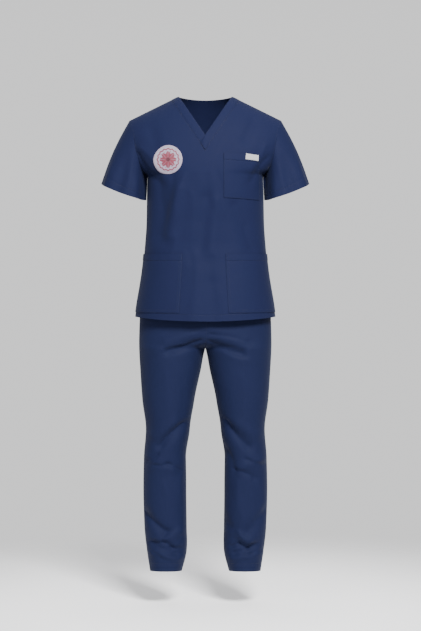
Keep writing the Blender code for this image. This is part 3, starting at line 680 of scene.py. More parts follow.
def panel_surface(face):
    """Outer points of a front or back, the directions out of it and the thickness of its wall."""
    points, normals, walls = [], [], []
    for row in panel_places(face):
        whole = [(-x, z) for x, z in reversed(row[1:])] + list(row)
        row_points, row_normals, row_walls = [], [], []
        for x, z in whole:
            skin, normal = torso_skin(x, z, face)
            share = min(1.0, abs(x) / read_table(TOP_SECTIONS, z)[0])
            above_hem = z - hem_level(share)
            skin += normal * stitched_dip(above_hem, HEM_TURN)
            row_points.append(keep_behind_seam(skin, face, vent_gap(z)))
            row_normals.append(normal)
            row_walls.append(CLOTH + HEM_EXTRA * (1.0 - smooth_step(HEM_TURN - 0.001, HEM_TURN, above_hem)))
        points.append(row_points)
        normals.append(row_normals)
        walls.append(row_walls)
    return points, normals, walls


def armhole_loop(front, back, side, first_row):
    """Values round an armhole, from the armpit up the front, over the top and down the back."""
    column = -1 if side > 0 else 0
    up_front = [row[column] for row in front[first_row:]]
    down_back = [row[column] for row in reversed(back[first_row:])]
    armpit = Vector((up_front[0].x, 0.0, up_front[0].z))
    tip = Vector((up_front[-1].x, 0.0, up_front[-1].z))
    return [armpit] + up_front[1:-1] + [tip] + down_back[1:-1]


def cuff_point(around, side):
    """Place on the sleeve's open end, from the underarm round the front."""
    middle = [(inner + outer) / 2 for inner, outer in zip(CUFF_INNER, CUFF_OUTER)]
    reach = [(inner - outer) / 2 for inner, outer in zip(CUFF_INNER, CUFF_OUTER)]
    angle = math.tau * around
    forward = math.sin(angle)
    x = middle[0] + reach[0] * math.cos(angle)
    z = middle[1] + reach[1] * math.cos(angle) - CUFF_FRONT_DIP * max(0.0, forward)
    return Vector((side * x, -CUFF_HALF_DEPTH * forward, z))


def loop_shares(loop):
    """Share of the way round at each point, with the tip at one half."""
    half = len(loop) // 2
    lengths = [(after - before).length for before, after in zip(loop, loop[1:] + loop[:1])]
    front, back = sum(lengths[:half]), sum(lengths[half:])
    shares = [0.0]
    for index, length in enumerate(lengths[:-1]):
        shares.append(shares[-1] + 0.5 * length / (front if index < half else back))
    return shares


def sleeve_fold_rise(around, along):
    rise = 0.0
    for centre, start, end, height, half_width in SLEEVE_FOLDS + SLEEVE_CREASES:
        away = abs(around - centre) / half_width
        if away < FOLD_REACH:
            rise += height * math.exp(-away * away) * smooth_step(start, mix(start, end, 0.7), along)
    return rise


def grid_normal(rows, row, column, side):
    """Direction out of a tube of points at one of them."""
    columns = len(rows[0])
    low, high = max(row - 1, 0), min(row + 1, len(rows) - 1)
    across = rows[row][(column + 1) % columns] - rows[row][column - 1]
    onward = rows[high][column] - rows[low][column]
    return (onward.cross(across) * side).normalized()


def sleeve_steps():
    """Shares of the way along a sleeve, with closer rings at the hem's stitched line."""
    line = 1.0 - SLEEVE_HEM / SLEEVE_LENGTH
    even = [ring / SLEEVE_RINGS for ring in range(SLEEVE_RINGS + 1)]
    return sorted(with_line(even, line, "sleeve")), line


def sleeve_surface(loop, side):
    """Outer rings of a sleeve, the directions out of it and the thickness of its wall."""
    shares = loop_shares(loop)
    steps, line = sleeve_steps()
    bare = []
    for along in steps:
        points = []
        for place, around in zip(loop, shares):
            point = place.lerp(cuff_point(around, side), along)
            cap = SLEEVE_CAP_RISE * math.sin(math.pi * along) * max(0.0, -math.cos(math.tau * around))
            points.append(point + Vector((side * cap, 0.0, cap / 2)))
        bare.append(points)
    normals = [[grid_normal(bare, ring, index, side) for index in range(len(loop))] for ring in range(len(steps))]
    folded, walls = [], []
    for along, points, ring_normals in zip(steps, bare, normals):
        dip = stitched_dip((along - line) * SLEEVE_LENGTH, 0.0)
        folded.append([point + normal * (sleeve_fold_rise(around, along) + dip)
                       for point, normal, around in zip(points, ring_normals, shares)])
        walls.append([CLOTH + HEM_EXTRA * smooth_step(line, line + 0.008, along)] * len(points))
    return folded, normals, walls


def mitre(first, second):
    """Step from the outer to the inner face that two walls share where they meet."""
    total = first + second
    return total.normalized() * (-CLOTH / max(total.length / 2, MITRE_LIMIT))


def inner_points(points, normals, walls):
    return [[point - normal * wall for point, normal, wall in zip(*rows)] for rows in zip(points, normals, walls)]


def turned(grid):
    """The same grid with its rows and columns exchanged."""
    return [list(column) for column in zip(*grid)]


def cloth_object(name, outer, inner, looped, material, closed_end=False):
    """A thin closed wall between two matching grids of points, with its own map in metres."""
    columns = len(outer[0])
    rows = len(outer)
    spans = columns if looped else columns - 1
    count = rows * columns
    verts = [tuple(point) for side in (outer, inner) for row in side for point in row]
    across = running_lengths(outer, looped)
    upward = running_lengths(turned(outer), False)
    faces, corners = [], []
    for row in range(rows - 1):
        for column in range(spans):
            after = (column + 1) % columns
            quad = (row * columns + column, row * columns + after,
                    (row + 1) * columns + after, (row + 1) * columns + column)
            places = [(across[row][column], upward[column][row]), (across[row][column + 1], upward[after][row]),
                      (across[row + 1][column + 1], upward[after][row + 1]),
                      (across[row + 1][column], upward[column][row + 1])]
            faces.append(quad)
            corners.append(places)
            faces.append(tuple(index + count for index in reversed(quad)))
            corners.append(list(reversed(places)))
    for row in (0,) if closed_end else (0, rows - 1):
        for column in range(spans):
            after = (column + 1) % columns
            quad = (row * columns + column, row * columns + after,
                    row * columns + after + count, row * columns + column + count)
            faces.append(quad if row else tuple(reversed(quad)))
            corners.append([(0.0, 0.0)] * 4)
    if closed_end:
        last = range((rows - 1) * columns, rows * columns)
        for lid in (tuple(last), tuple(index + count for index in reversed(last))):
            faces.append(lid)
            corners.append([(0.0, 0.0)] * columns)
    if not looped:
        for column in (0, columns - 1):
            for row in range(rows - 1):
                quad = (row * columns + column, (row + 1) * columns + column,
                        (row + 1) * columns + column + count, row * columns + column + count)
                faces.append(quad if not column else tuple(reversed(quad)))
                corners.append([(0.0, 0.0)] * 4)
    mesh = bpy.data.meshes.new(name)
    mesh.from_pydata(verts, [], faces)
    layer = mesh.uv_layers.new(name="cloth")
    flat = [value for places in corners for place in places for value in place]
    layer.data.foreach_set("uv", flat)
    return finish_mesh(name, mesh, material)


def running_lengths(rows, looped):
    """Distance along each row from its first point, as the cloth lies flat."""
    table = []
    for row in rows:
        total = 0.0
        lengths = [0.0]
        points = list(row) + ([row[0]] if looped else [])
        for before, after in zip(points, points[1:]):
            total += (after - before).length
            lengths.append(total)
        table.append(lengths)
    return table


def finish_mesh(name, mesh, material):
    """Turn the faces out, shade them smooth but for the cut edges, and place the piece."""
    work = bmesh.new()
    work.from_mesh(mesh)
    bmesh.ops.recalc_face_normals(work, faces=work.faces)
    work.to_mesh(mesh)
    work.free()
    mesh.shade_smooth()
    mesh.set_sharp_from_angle(angle=SHARP_EDGE)
    mesh.materials.append(material)
    piece = bpy.data.objects.new(name, mesh)
    bpy.context.scene.collection.objects.link(piece)
    return piece


def place_piece(piece, node):
    """Tie a finished piece to the body and hide the imported part that it stands for."""
    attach(piece, "root")
    if node:
        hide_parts(node)


def surface_area(points, looped=False):
    """Area of a grid of points, as the cloth was cut."""
    area = 0.0
    for lower, upper in zip(points, points[1:]):
        spans = len(lower) if looped else len(lower) - 1
        for column in range(spans):
            after = (column + 1) % len(lower)
            first = upper[after] - lower[column]
            second = upper[column] - lower[after]
            area += first.cross(second).length / 2
    return area


def flat_size(points, looped=False, level_rows=None):
    """Width and length of the smallest rectangle that the piece is cut from.

    The width is measured over the level rows alone where the others follow a curved edge.
    """
    widths = [lengths[-1] for lengths in running_lengths(points[:level_rows], looped)]
    heights = [lengths[-1] for lengths in running_lengths(turned(points), False)]
    return max(widths) * EASE, max(heights) * EASE


def make_cloth(node, grids, material, looped=False, level_rows=None):
    """Make the cloth that stands for a node, from its outer and inner points, and place it."""
    name = node + "_cloth"
    outer, inner = MADE[name] = grids
    piece = cloth_object(name, outer, inner, looped, material)
    place_piece(piece, node)
    flat_size(outer, looped, level_rows)
    surface_area(outer, looped)


def make_body_and_sleeves(material):
    """Front, back and both sleeves, which meet at the armholes."""
    panels = {face: panel_surface(face) for face in (FRONT, BACK)}
    inner = {face: inner_points(*panels[face]) for face in panels}
    first_row = len(lower_shares())
    for side, word in ((1, "left"), (-1, "right")):
        column = -1 if side > 0 else 0
        loop = armhole_loop(panels[FRONT][0], panels[BACK][0], side, first_row)
        rings, normals, walls = sleeve_surface(loop, side)
        panel_normals = armhole_loop(panels[FRONT][1], panels[BACK][1], side, first_row)
        steps = [mitre(panel.normalized(), sleeve) for panel, sleeve in zip(panel_normals, normals[0])]
        for row in range(UPPER_ROWS + 1):
            for face, step in ((FRONT, steps[row]), (BACK, steps[-row])):
                inner[face][first_row + row][column] = panels[face][0][first_row + row][column] + step
        inner_rings = inner_points(rings, normals, walls)
        start = []
        for index, (point, step) in enumerate(zip(rings[0], steps)):
            away = step.cross(rings[0][(index + 1) % len(loop)] - rings[0][index - 1]).normalized()
            if away.dot(rings[1][index] - point) < 0:
                away.negate()
            start.append(point + away * SEAM_GAP)
        rings[0] = start
        inner_rings[0] = [point + step for point, step in zip(start, steps)]
        make_cloth("sleeve_" + word, (rings, inner_rings), material,
                   looped=True)
    for face, node in ((FRONT, "top_front"), (BACK, "top_back")):
        points = panels[face][0]
        held = [[keep_behind_seam(point, face, vent_gap(point.z)) for point in row] for row in inner[face]]
        make_cloth(node, (points, held), material,
                   level_rows=first_row)


def band_stations(side):
    """Pairs of inner and outer places along one half of the neck band, from the V to the centre back."""
    steps = [step / BAND_STEPS for step in range(BAND_STEPS + 1)]
    width = BAND_WIDTH - SEAM_GAP
    stations = [(neck_edge(step, 0.0, FRONT), neck_edge(step, width, FRONT), FRONT) for step in steps[1:]]
    stations += [(neck_edge(step, 0.0, BACK), neck_edge(step, width, BACK), BACK) for step in reversed(steps[:-1])]
    reach = neck_drop(width) / 2
    lap_x = reach * NECK_HALF_WIDTH / V_DEPTH
    lap_end = (-lap_x, -V_DEPTH - reach)
    if side > 0:
        near = (NECK_HALF_WIDTH * LAP_EASE, -V_DEPTH * (1.0 - LAP_EASE))
        point = neck_edge(0.0, width, FRONT)
        lap = [(tuple(mix(a, b, step) for a, b in zip((0.0, -V_DEPTH), near)),
                tuple(mix(a, b, step) for a, b in zip(lap_end, point)), FRONT) for step in LAP_STEPS]
        lap.append((near, point, FRONT))
    else:
        share = 2 * SEAM_GAP / math.hypot(NECK_HALF_WIDTH, V_DEPTH)
        off = (NECK_HALF_WIDTH * share, V_DEPTH * share)
        lap = [((off[0], -V_DEPTH + off[1]), (lap_x + off[0], lap_end[1] + off[1]), FRONT)]
    return lap + stations


def lap_rise(row):
    """How far the lapping half of the band stands out: rolled at its end, then settling back."""
    full = len(LAP_STEPS) - 1
    rolled = math.sqrt(1.0 - (1.0 - min(1.0, row / full)) ** 2)
    return LAP_RISE * rolled * (1.0 - smooth_step(full + 1, LAP_ROWS, row))


def make_band(word, side, material):
    outer, inner = [], []
    for row, (opening, seam, face) in enumerate(band_stations(side)):
        outer_row, inner_row = [], []
        lap = lap_rise(row) if side > 0 else 0.0
        for step in range(BAND_COLUMNS + 1):
            share = step / BAND_COLUMNS
            x = side * mix(opening[0], seam[0], share)
            z = min(mix(opening[1], seam[1], share), ridge_level(x))
            if ridge_level(x) - z < GRADIENT_STEP:
                z = ridge_level(x)
            skin, normal = torso_skin(x, z, face)
            rounded = BAND_ROLL * (1.0 - (2.0 * share - 1.0) ** 4) + lap
            outer_row.append(skin + normal * rounded)
            inner_row.append(skin - normal * CLOTH)
        outer.append(outer_row)
        inner.append(inner_row)
    for grid, slant in ((outer, SEAM_SLANT), (inner, -SEAM_SLANT)):
        grid[-1] = [Vector((side * SEAM_GAP / 2 + slant, point.y, point.z)) for point in grid[-1]]
    make_cloth("neck_band_" + word, (outer, inner), material)


def laid_on_front(rows, thickness, lift, bulge=0.0, turn=0.0):
    """Outer and inner points of a flat piece on the front, from rows of places, its edges rolled under."""
    outer, inner = [], []
    for row_index, row in enumerate(rows):
        up = row_index / (len(rows) - 1)
        outer_row, inner_row = [], []
        for index, (x, z) in enumerate(row):
            across = index / (len(row) - 1)
            free = bulge * math.sin(math.pi * across) * math.sin(math.pi / 2 * up)
            below_top = rows[-1][index][1] - z
            dip = stitched_dip(below_top, turn) if turn else 0.0
            step = HEM_EXTRA * (1.0 - smooth_step(turn - 0.001, turn, below_top)) if turn else 0.0
            edge = min(index, len(row) - 1 - index, row_index + 1)
            rolled = thickness * (FOLDED_EDGE if edge == 0 else 1.0)
            skin, normal = torso_skin(x, z, FRONT, lift + free)
            inner_row.append(keep_behind_seam(skin, FRONT))
            outer_row.append(keep_behind_seam(skin + normal * (rolled + dip + step), FRONT))
        outer.append(outer_row)
        inner.append(inner_row)
    return outer, inner


def spread_round(start_share, end_share, columns):
    """Shares of the half width that keep the columns evenly apart round the body."""
    start = math.asin(start_share ** (FULLNESS / 2))
    end = math.asin(end_share ** (FULLNESS / 2))
    return [math.sin(mix(start, end, column / columns)) ** (2 / FULLNESS) for column in range(columns + 1)]


def pocket_heights(bottom, top, turn):
    """Levels of a pocket's rows, closer at its folded top, its bottom edge and the hem's line."""
    even = [mix(bottom, top, row / POCKET_ROWS) for row in range(POCKET_ROWS + 1)]
    return sorted(with_line(even, top - turn, "pocket", (bottom, top)))


def edge_eased(shares):
    """Two more columns just inside a pocket's side edges, for their rolled folds."""
    first = mix(shares[0], shares[1], 0.25)
    last = mix(shares[-2], shares[-1], 0.75)
    return [shares[0], first] + shares[1:-1] + [last, shares[-1]]


def make_chest_pocket(material):
    pocket = CHEST_POCKET
    width = pocket["right"] - pocket["left"]
    half_width = read_table(TOP_SECTIONS, ARMPIT_LEVEL)[0]
    shares = edge_eased(spread_round(pocket["left"] / half_width, pocket["right"] / half_width, POCKET_COLUMNS))
    slope = pocket["slant"] / width
    rows = []
    for level in pocket_heights(pocket["bottom"], pocket["top"], POCKET_HEM):
        rows.append([(half_width * share, level - slope * (half_width * share - pocket["left"])) for share in shares])
    make_cloth("chest_pocket", laid_on_front(rows, CLOTH, LAID_GAP, POCKET_BULGE, POCKET_HEM), material)


def make_hip_pocket(word, side, inner_share, material):
    outer_share = math.sin(math.radians(HIP_POCKET_OUTER_ANGLE)) ** (2 / FULLNESS)
    shares = edge_eased(spread_round(inner_share, outer_share, POCKET_COLUMNS))
    rows = []
    for z in pocket_heights(HIP_POCKET_BOTTOM, HIP_POCKET_TOP, POCKET_HEM):
        half_width = read_table(TOP_SECTIONS, z)[0]
        rows.append([(side * half_width * share, z) for share in shares])
    make_cloth("hip_pocket_" + word, laid_on_front(rows, CLOTH, LAID_GAP, POCKET_BULGE, POCKET_HEM),
               material)


def make_patch(material):
    """The round patch: rings of places about its centre, with a thick overlocked rim."""
    outer, inner = [], []
    for ring in range(PATCH_RINGS + 1):
        share = 1.0 - PATCH_HOLE * ring / PATCH_RINGS if ring < PATCH_RINGS else PATCH_CORE
        radius = PATCH_DIAMETER / 2 * share
        turns = [math.tau * index / PATCH_SIDES for index in range(PATCH_SIDES)]
        places = [(PATCH_CENTRE[0] + radius * math.cos(turn), PATCH_CENTRE[1] + radius * math.sin(turn))
                  for turn in turns]
        inset = PATCH_DIAMETER / 2 - radius
        rim = PATCH_RIM * math.sqrt(max(0.0, 1.0 - (inset / PATCH_RIM_WIDTH - 1.0) ** 2))
        height = PATCH_CLOTH * (PATCH_EDGE if ring == 0 else 1.0) + (rim if inset < 2 * PATCH_RIM_WIDTH else 0.0)
        outer.append([torso_skin(x, z, FRONT, LAID_GAP + height)[0] for x, z in places])
        inner.append([torso_skin(x, z, FRONT, LAID_GAP)[0] for x, z in places])
    piece = cloth_object("chest_patch_cloth", outer, inner, True, material, closed_end=True)
    MADE["chest_patch_cloth"] = (outer, inner)
    place_piece(piece, "chest_patch")


def make_label(material):
    turn = math.radians(LABEL_TILT)
    rows = []
    for row in range(LABEL_ROWS + 1):
        places = []
        for step in range(LABEL_COLUMNS + 1):
            x = LABEL_SIZE[0] * (step / LABEL_COLUMNS - 0.5)
            z = LABEL_SIZE[1] * (row / LABEL_ROWS - 0.5)
            places.append((LABEL_CENTRE[0] + x * math.cos(turn) - z * math.sin(turn),
                           LABEL_CENTRE[1] + x * math.sin(turn) + z * math.cos(turn)))
        rows.append(places)
    lift = LAID_GAP + POCKET_BULGE + CLOTH + HEM_EXTRA + LABEL_GAP
    make_cloth("pocket_label", laid_on_front(rows, LABEL_CLOTH, lift), material)


@functools.lru_cache(maxsize=None)
def leg_terms(z, face):
    side, centre, front_depth, back_depth = read_table(LEG_SECTIONS, z)
    return side, centre, front_depth if face == FRONT else back_depth


def leg_point(across, z, face):
    """Point from the inner edge (0) to the side seam (1), before its creases."""
    side, centre, depth = leg_terms(z, face)
    half = side - centre
    reach = min(1.0, centre / half)
    start = -math.asin(reach ** (LEG_FULLNESS / 2))
    angle = mix(start, math.pi / 2, across)
    x = centre + half * math.copysign(abs(math.sin(angle)) ** (2 / LEG_FULLNESS), angle)
    return Vector((x, face * depth * max(0.0, math.cos(angle)) ** (2 / LEG_FULLNESS), z))


def leg_normal(point, face):
    def excess(x, z):
        side, centre, depth = leg_terms(z, face)
        return (abs(point.y) / depth) ** LEG_FULLNESS + abs((x - centre) / (side - centre)) ** LEG_FULLNESS

    step = GRADIENT_STEP
    slope_x = (excess(point.x + step, point.z) - excess(point.x - step, point.z)) / (2 * step)
    slope_z = (excess(point.x, point.z + step) - excess(point.x, point.z - step)) / (2 * step)
    depth = leg_terms(point.z, face)[2]
    slope_y = LEG_FULLNESS * abs(point.y) ** (LEG_FULLNESS - 1.0) / depth ** LEG_FULLNESS
    return Vector((slope_x, face * slope_y, slope_z)).normalized()


def leg_levels():
    """Levels of the rows, with one where the legs part and closer ones at the hem's stitched line."""
    above = round(LEG_ROWS * (WAIST_LEVEL - FORK_LEVEL) / (WAIST_LEVEL - CUFF_LEVEL))
    even = [mix(WAIST_LEVEL, FORK_LEVEL, row / above) for row in range(above)]
    below = LEG_ROWS - above
    even += [mix(FORK_LEVEL, CUFF_LEVEL, row / below) for row in range(below + 1)]
    return sorted(with_line(even, CUFF_LEVEL + CUFF_HEM, "cuff"), reverse=True)


def leg_held(point, side, face):
    """Hold a point on its own side of the seams, and mirror it to its leg."""
    held = keep_behind_seam(point, face)
    return Vector((side * max(held.x, SEAM_GAP / 2), held.y, held.z))


def make_leg_panel(side_word, side, face_word, face, material):
    folds = LEG_FRONT_FOLDS if face == FRONT else LEG_BACK_FOLDS
    creases = LEG_CREASES[face_word + "_" + side_word]
    outer, inner = [], []
    for z in leg_levels():
        outer_row, inner_row = [], []
        for column in range(LEG_COLUMNS + 1):
            across = column / LEG_COLUMNS
            point = leg_point(across, z, face)
            normal = leg_normal(point, face)
            fade = smooth_step(0.0, LEG_FOLD_FADE[0], across) * (1.0 - smooth_step(LEG_FOLD_FADE[1], 1.0, across))
            near = smooth_step(0.0, LEG_CREASE_FADE[0], across) * (1.0 - smooth_step(LEG_CREASE_FADE[1], 1.0, across))
            rise = fold_rise(folds, point.x, z) * fade + crease_rise(creases, point.x, z) * near
            above_hem = z - CUFF_LEVEL
            skin = point + normal * (rise + stitched_dip(above_hem, CUFF_HEM))
            if face == FRONT:
                skin.z += CUFF_ARCH * (1.0 - (2.0 * across - 1.0) ** 2) * smooth_step(CUFF_ARCH_START, CUFF_LEVEL, z)
            wall = CLOTH + HEM_EXTRA * (1.0 - smooth_step(CUFF_HEM - 0.001, CUFF_HEM, above_hem))
            outer_row.append(leg_held(skin, side, face))
            inner_row.append(leg_held(skin - normal * wall, side, face))
        if z > FORK_LEVEL + GRADIENT_STEP:
            outer_row[0].x = side * SEAM_GAP / 2 + SEAM_SLANT
            inner_row[0].x = side * SEAM_GAP / 2 - SEAM_SLANT
        outer.append(outer_row)
        inner.append(inner_row)
    make_cloth("leg_%s_%s" % (face_word, side_word), (outer, inner), material)


def gather(angle, height):
    """How far the elastic's small gathers stand out, uneven round the waist."""
    wander = 0.9 * math.sin(5 * angle + 0.7) + 0.6 * math.sin(11 * angle + 2.1)
    strength = 0.65 + 0.35 * math.sin(3 * angle + 1.3) * math.sin(7 * angle)
    pinched = 1.0 - 0.55 * sum(math.exp(-((height - line) / STITCH_PINCH) ** 2) for line in WAISTBAND_STITCHES)
    return GATHER_DEPTH * strength * pinched * (math.sin(GATHER_COUNT * angle + wander) - 1.0)


def make_waistband(material):
    side, _, front_depth = leg_terms(WAIST_LEVEL, FRONT)
    back_depth = leg_terms(WAIST_LEVEL, BACK)[2]
    outer, inner = [], []
    for row in range(WAISTBAND_ROWS + 1):
        height = row / WAISTBAND_ROWS
        z = mix(WAIST_LEVEL + SEAM_GAP, WAIST_LEVEL + WAISTBAND_HEIGHT, height)
        outer_ring, inner_ring = [], []
        for index in range(WAISTBAND_SIDES):
            angle = math.tau * index / WAISTBAND_SIDES
            depth = front_depth if math.sin(angle) < 0 else back_depth
            edge = WAISTBAND_ROLL * (2.0 * height - 1.0) ** 6
            out = gather(angle, height) - edge
            for ring, offset in ((outer_ring, out), (inner_ring, out - CLOTH)):
                x = (side + offset) * math.copysign(abs(math.cos(angle)) ** (2 / LEG_FULLNESS), math.cos(angle))
                y = (depth + offset) * math.copysign(abs(math.sin(angle)) ** (2 / LEG_FULLNESS), math.sin(angle))
                ring.append(Vector((x, y, z)))
        outer.append(outer_ring)
        inner.append(inner_ring)
    make_cloth("waistband", (outer, inner), material,
               looped=True)


class Signal:
    """A number socket of a material, which adds its Math nodes when it is used in an expression."""

    def __init__(self, finish, socket):
        self.finish = finish
        self.socket = socket

    def maths(self, operation, first, second=None, clamp=False):
        values = {0: first} if second is None else {0: first, 1: second}
        settings = {"operation": operation, "use_clamp": clamp}
        return self.finish.number("ShaderNodeMath", settings, values)

    def __pow__(self, other):
        return self.maths("POWER", self, other)

    def __abs__(self):
        return self.maths("ABSOLUTE", self)

    def sine(self):
        return self.maths("SINE", self)

    def cosine(self):
        return self.maths("COSINE", self)

    def held(self):
        return self.maths("ADD", self, 0.0, clamp=True)

    def stepped(self, low, high):
        """0 below low, 1 above high, and smooth between."""
        return self.stepped_between(low, high - low)

    def stepped_between(self, low, width):
        """0 below low, 1 where it is more than width above it, and smooth between."""
        share = ((self - low) / width).held()
        return share * share * (3.0 - 2.0 * share)


def add_operator(name, operation):
    """Give Signal one operator, and its mirrored form for a plain number on the left."""
    setattr(Signal, "__%s__" % name, lambda self, other: self.maths(operation, self, other))
    setattr(Signal, "__r%s__" % name, lambda self, other: self.maths(operation, other, self))


for operator_name, operator_kind in (("add", "ADD"), ("sub", "SUBTRACT"), ("mul", "MULTIPLY"), ("truediv", "DIVIDE")):
    add_operator(operator_name, operator_kind)


class Finish:
    """One procedural material, built node by node."""

    def __init__(self, name):
        self.material = bpy.data.materials.new(name)
        self.material.use_nodes = True
        self.tree = self.material.node_tree
        self.tree.nodes.clear()

    def node(self, kind, settings=None, inputs=None):
        """Add a node: its settings first, then the values or links of its sockets."""
        made = self.tree.nodes.new(kind)
        settings = dict(settings or {})
        stops = settings.pop("stops", None)
        for key, value in settings.items():
            setattr(made, key, value)
        if stops:
            ramp = made.color_ramp
            while len(ramp.elements) < len(stops):
                ramp.elements.new(0.5)
            for element, (place, colour) in zip(ramp.elements, stops):
                element.position = place
                element.color = colour
        for key, value in (inputs or {}).items():
            socket = made.inputs[key]
            if isinstance(value, Signal):
                self.tree.links.new(value.socket, socket)
            elif isinstance(value, bpy.types.NodeSocket):
                self.tree.links.new(value, socket)
            else:
                socket.default_value = value
        return made

    def number(self, kind, settings=None, inputs=None, output=0):
        return Signal(self, self.node(kind, settings, inputs).outputs[output])

    def cloth_place(self):
        """Distances across and up the cloth, in metres, from the piece's own map."""
        flat_map = self.node("ShaderNodeUVMap", {"uv_map": "cloth"}).outputs[0]
        split = self.node("ShaderNodeSeparateXYZ", None, {0: flat_map})
        return Signal(self, split.outputs[0]), Signal(self, split.outputs[1])

    def object_place(self):
        return self.node("ShaderNodeTexCoord").outputs["Object"]

    def noise(self, vector, scale, detail=2.0, roughness=0.5):
        inputs = {"Vector": vector, "Scale": scale, "Detail": detail, "Roughness": roughness}
        return self.number("ShaderNodeTexNoise", None, inputs)

    def blended(self, share, first, second):
        """Colour between two colours, by a share."""
        settings = {"data_type": "RGBA", "blend_type": "MIX"}
        return self.node("ShaderNodeMix", settings, {0: share, 6: first, 7: second}).outputs[2]

    def bump(self, height, distance, strength=1.0, under=None):
        inputs = {"Height": height, "Distance": distance, "Strength": strength}
        if under is not None:
            inputs["Normal"] = under
        return self.node("ShaderNodeBump", None, inputs).outputs[0]

    def surface(self, **inputs):
        """The shader itself, with its sockets named as Blender names them, spaces as underscores."""
        named = {key.replace("_", " "): value for key, value in inputs.items()}
        shader = self.node("ShaderNodeBsdfPrincipled", None, named)
        output = self.node("ShaderNodeOutputMaterial")
        self.tree.links.new(shader.outputs[0], output.inputs[0])
        return self.material


def tinted(colour, factor):
    return tuple(min(1.0, channel * factor) for channel in colour[:3]) + (1.0,)


def poplin(name, colour, sizes):
    """Smooth navy poplin: a fine plain weave, slight unevenness of dye and a faint soft sheen."""
    if name in bpy.data.materials:
        return bpy.data.materials[name]
    finish = Finish(name)
    across, up = finish.cloth_place()
    place = finish.object_place()
    turns = math.tau / sizes.weave_pitch
    threads = (across * turns).sine() * (up * turns).sine()
    slubs = finish.noise(place, 900.0, 1.0)
    dye = finish.noise(place, 7.0, 3.0)
    rubbed = finish.noise(place, 45.0, 3.0, 0.6)
    share = (0.30 + dye * 0.35 + (rubbed - 0.5) * 0.18 + (slubs - 0.5) * 0.12 + threads * 0.05).held()
    shade = finish.blended(share, tinted(colour, 0.84), tinted(colour, 1.16))
    roughness = 0.70 + (rubbed - 0.5) * 0.10 + threads * 0.02
    softly = finish.bump(rubbed, 0.0012, 0.5)
    weave = finish.bump(threads * 0.5 + slubs, 0.00010, 0.5, softly)
    return finish.surface(Base_Color=shade, Roughness=roughness, Normal=weave, Sheen_Weight=sizes.sheen,
                          Sheen_Roughness=0.45, Sheen_Tint=(0.62, 0.72, 1.0, 1.0), Specular_IOR_Level=0.06)


def emblem_twill(name, field, figure, rim):
    """Pale twill of the round patch, with a ring and a petalled rosette worked on it."""
    if name in bpy.data.materials:
        return bpy.data.materials[name]
    finish = Finish(name)
    place = finish.object_place()
    split = finish.node("ShaderNodeSeparateXYZ", None, {0: place})
    x = (Signal(finish, split.outputs[0]) - PATCH_CENTRE[0]) / (PATCH_DIAMETER / 2)
    z = (Signal(finish, split.outputs[2]) - PATCH_CENTRE[1]) / (PATCH_DIAMETER / 2)
    radius = (x * x + z * z) ** 0.5
    angle = x.maths("ARCTAN2", z, x)
    petals = 0.40 + 0.17 * abs((angle * (ROSETTE_PETALS / 2)).cosine())
    edge = 0.022
    rosette = 1.0 - radius.stepped_between(petals, edge)
    heart = 1.0 - radius.stepped(0.135, 0.135 + edge)
    veins = abs((angle * (ROSETTE_PETALS / 2)).sine())
    between = (1.0 - veins.stepped(0.05, 0.11)) * radius.stepped(0.15, 0.20)
    wave = 0.735 + 0.030 * (angle * RING_WAVES).cosine()
    ring = 1.0 - abs(radius - wave).stepped(0.030, 0.030 + edge)
    leaves = (1.0 - abs(radius - 0.560).stepped(0.030, 0.045)) * (angle * RING_WAVES).sine().stepped(0.30, 0.55)
    worked = (rosette * (1.0 - between) * (1.0 - heart) + ring + leaves * 0.55).held()
    border = radius.stepped(0.925, 0.940)
    twill = ((x * 2.1 + z * 1.6) * (math.tau * 22.0)).sine()
    satin = (angle * 150.0).sine()
    stain = finish.noise(place, 140.0, 2.0)
    ground_share = (0.5 + twill * 0.10 + (stain - 0.5) * 0.5).held()
    ground = finish.blended(ground_share, tinted(field, 0.93), tinted(field, 1.05))
    figured = finish.blended(worked, ground, finish.blended((stain + satin * 0.1).held(), tinted(figure, 0.85),
                                                            tinted(figure, 1.15)))
    centred = finish.blended(heart, figured, tinted(figure, 0.45))
    shade = finish.blended(border, centred, rim)
    height = worked * 1.0 + heart * 0.5 + satin * (worked + border) * 0.12 + twill * 0.10
    relief = finish.bump(height, 0.0004, 0.6)
    return finish.surface(Base_Color=shade, Roughness=0.62 - worked * 0.10, Normal=relief, Sheen_Weight=0.10,
                          Sheen_Roughness=0.40, Specular_IOR_Level=0.35)


def woven_tape(name, colour):
    """White tape with fine ribs across it, left bare."""
    if name in bpy.data.materials:
        return bpy.data.materials[name]
    finish = Finish(name)
    across, up = finish.cloth_place()
    ribs = (up * (math.tau / 0.0009)).sine()
    cross = (across * (math.tau / 0.0006)).sine()
    stain = finish.noise(finish.object_place(), 160.0, 2.0)
    share = (0.5 + ribs * 0.12 + cross * 0.06 + (stain - 0.5) * 0.6).held()
    shade = finish.blended(share, tinted(colour, 0.90), tinted(colour, 1.04))
    relief = finish.bump(ribs * 0.6 + cross * 0.3, 0.00012, 0.6)
    return finish.surface(Base_Color=shade, Roughness=0.58 + (stain - 0.5) * 0.1, Normal=relief, Sheen_Weight=0.12,
                          Sheen_Roughness=0.40, Specular_IOR_Level=0.35)


def sewing_thread(name, colour):
    if name in bpy.data.materials:
        return bpy.data.materials[name]
    finish = Finish(name)
    place = finish.object_place()
    twist = finish.noise(place, 2600.0, 1.0)
    shade = finish.blended(twist, tinted(colour, 0.75), tinted(colour, 1.25))
    relief = finish.bump(twist, 0.00008, 0.5)
    return finish.surface(Base_Color=shade, Roughness=0.50 + twist * 0.10, Normal=relief, Specular_IOR_Level=0.40)


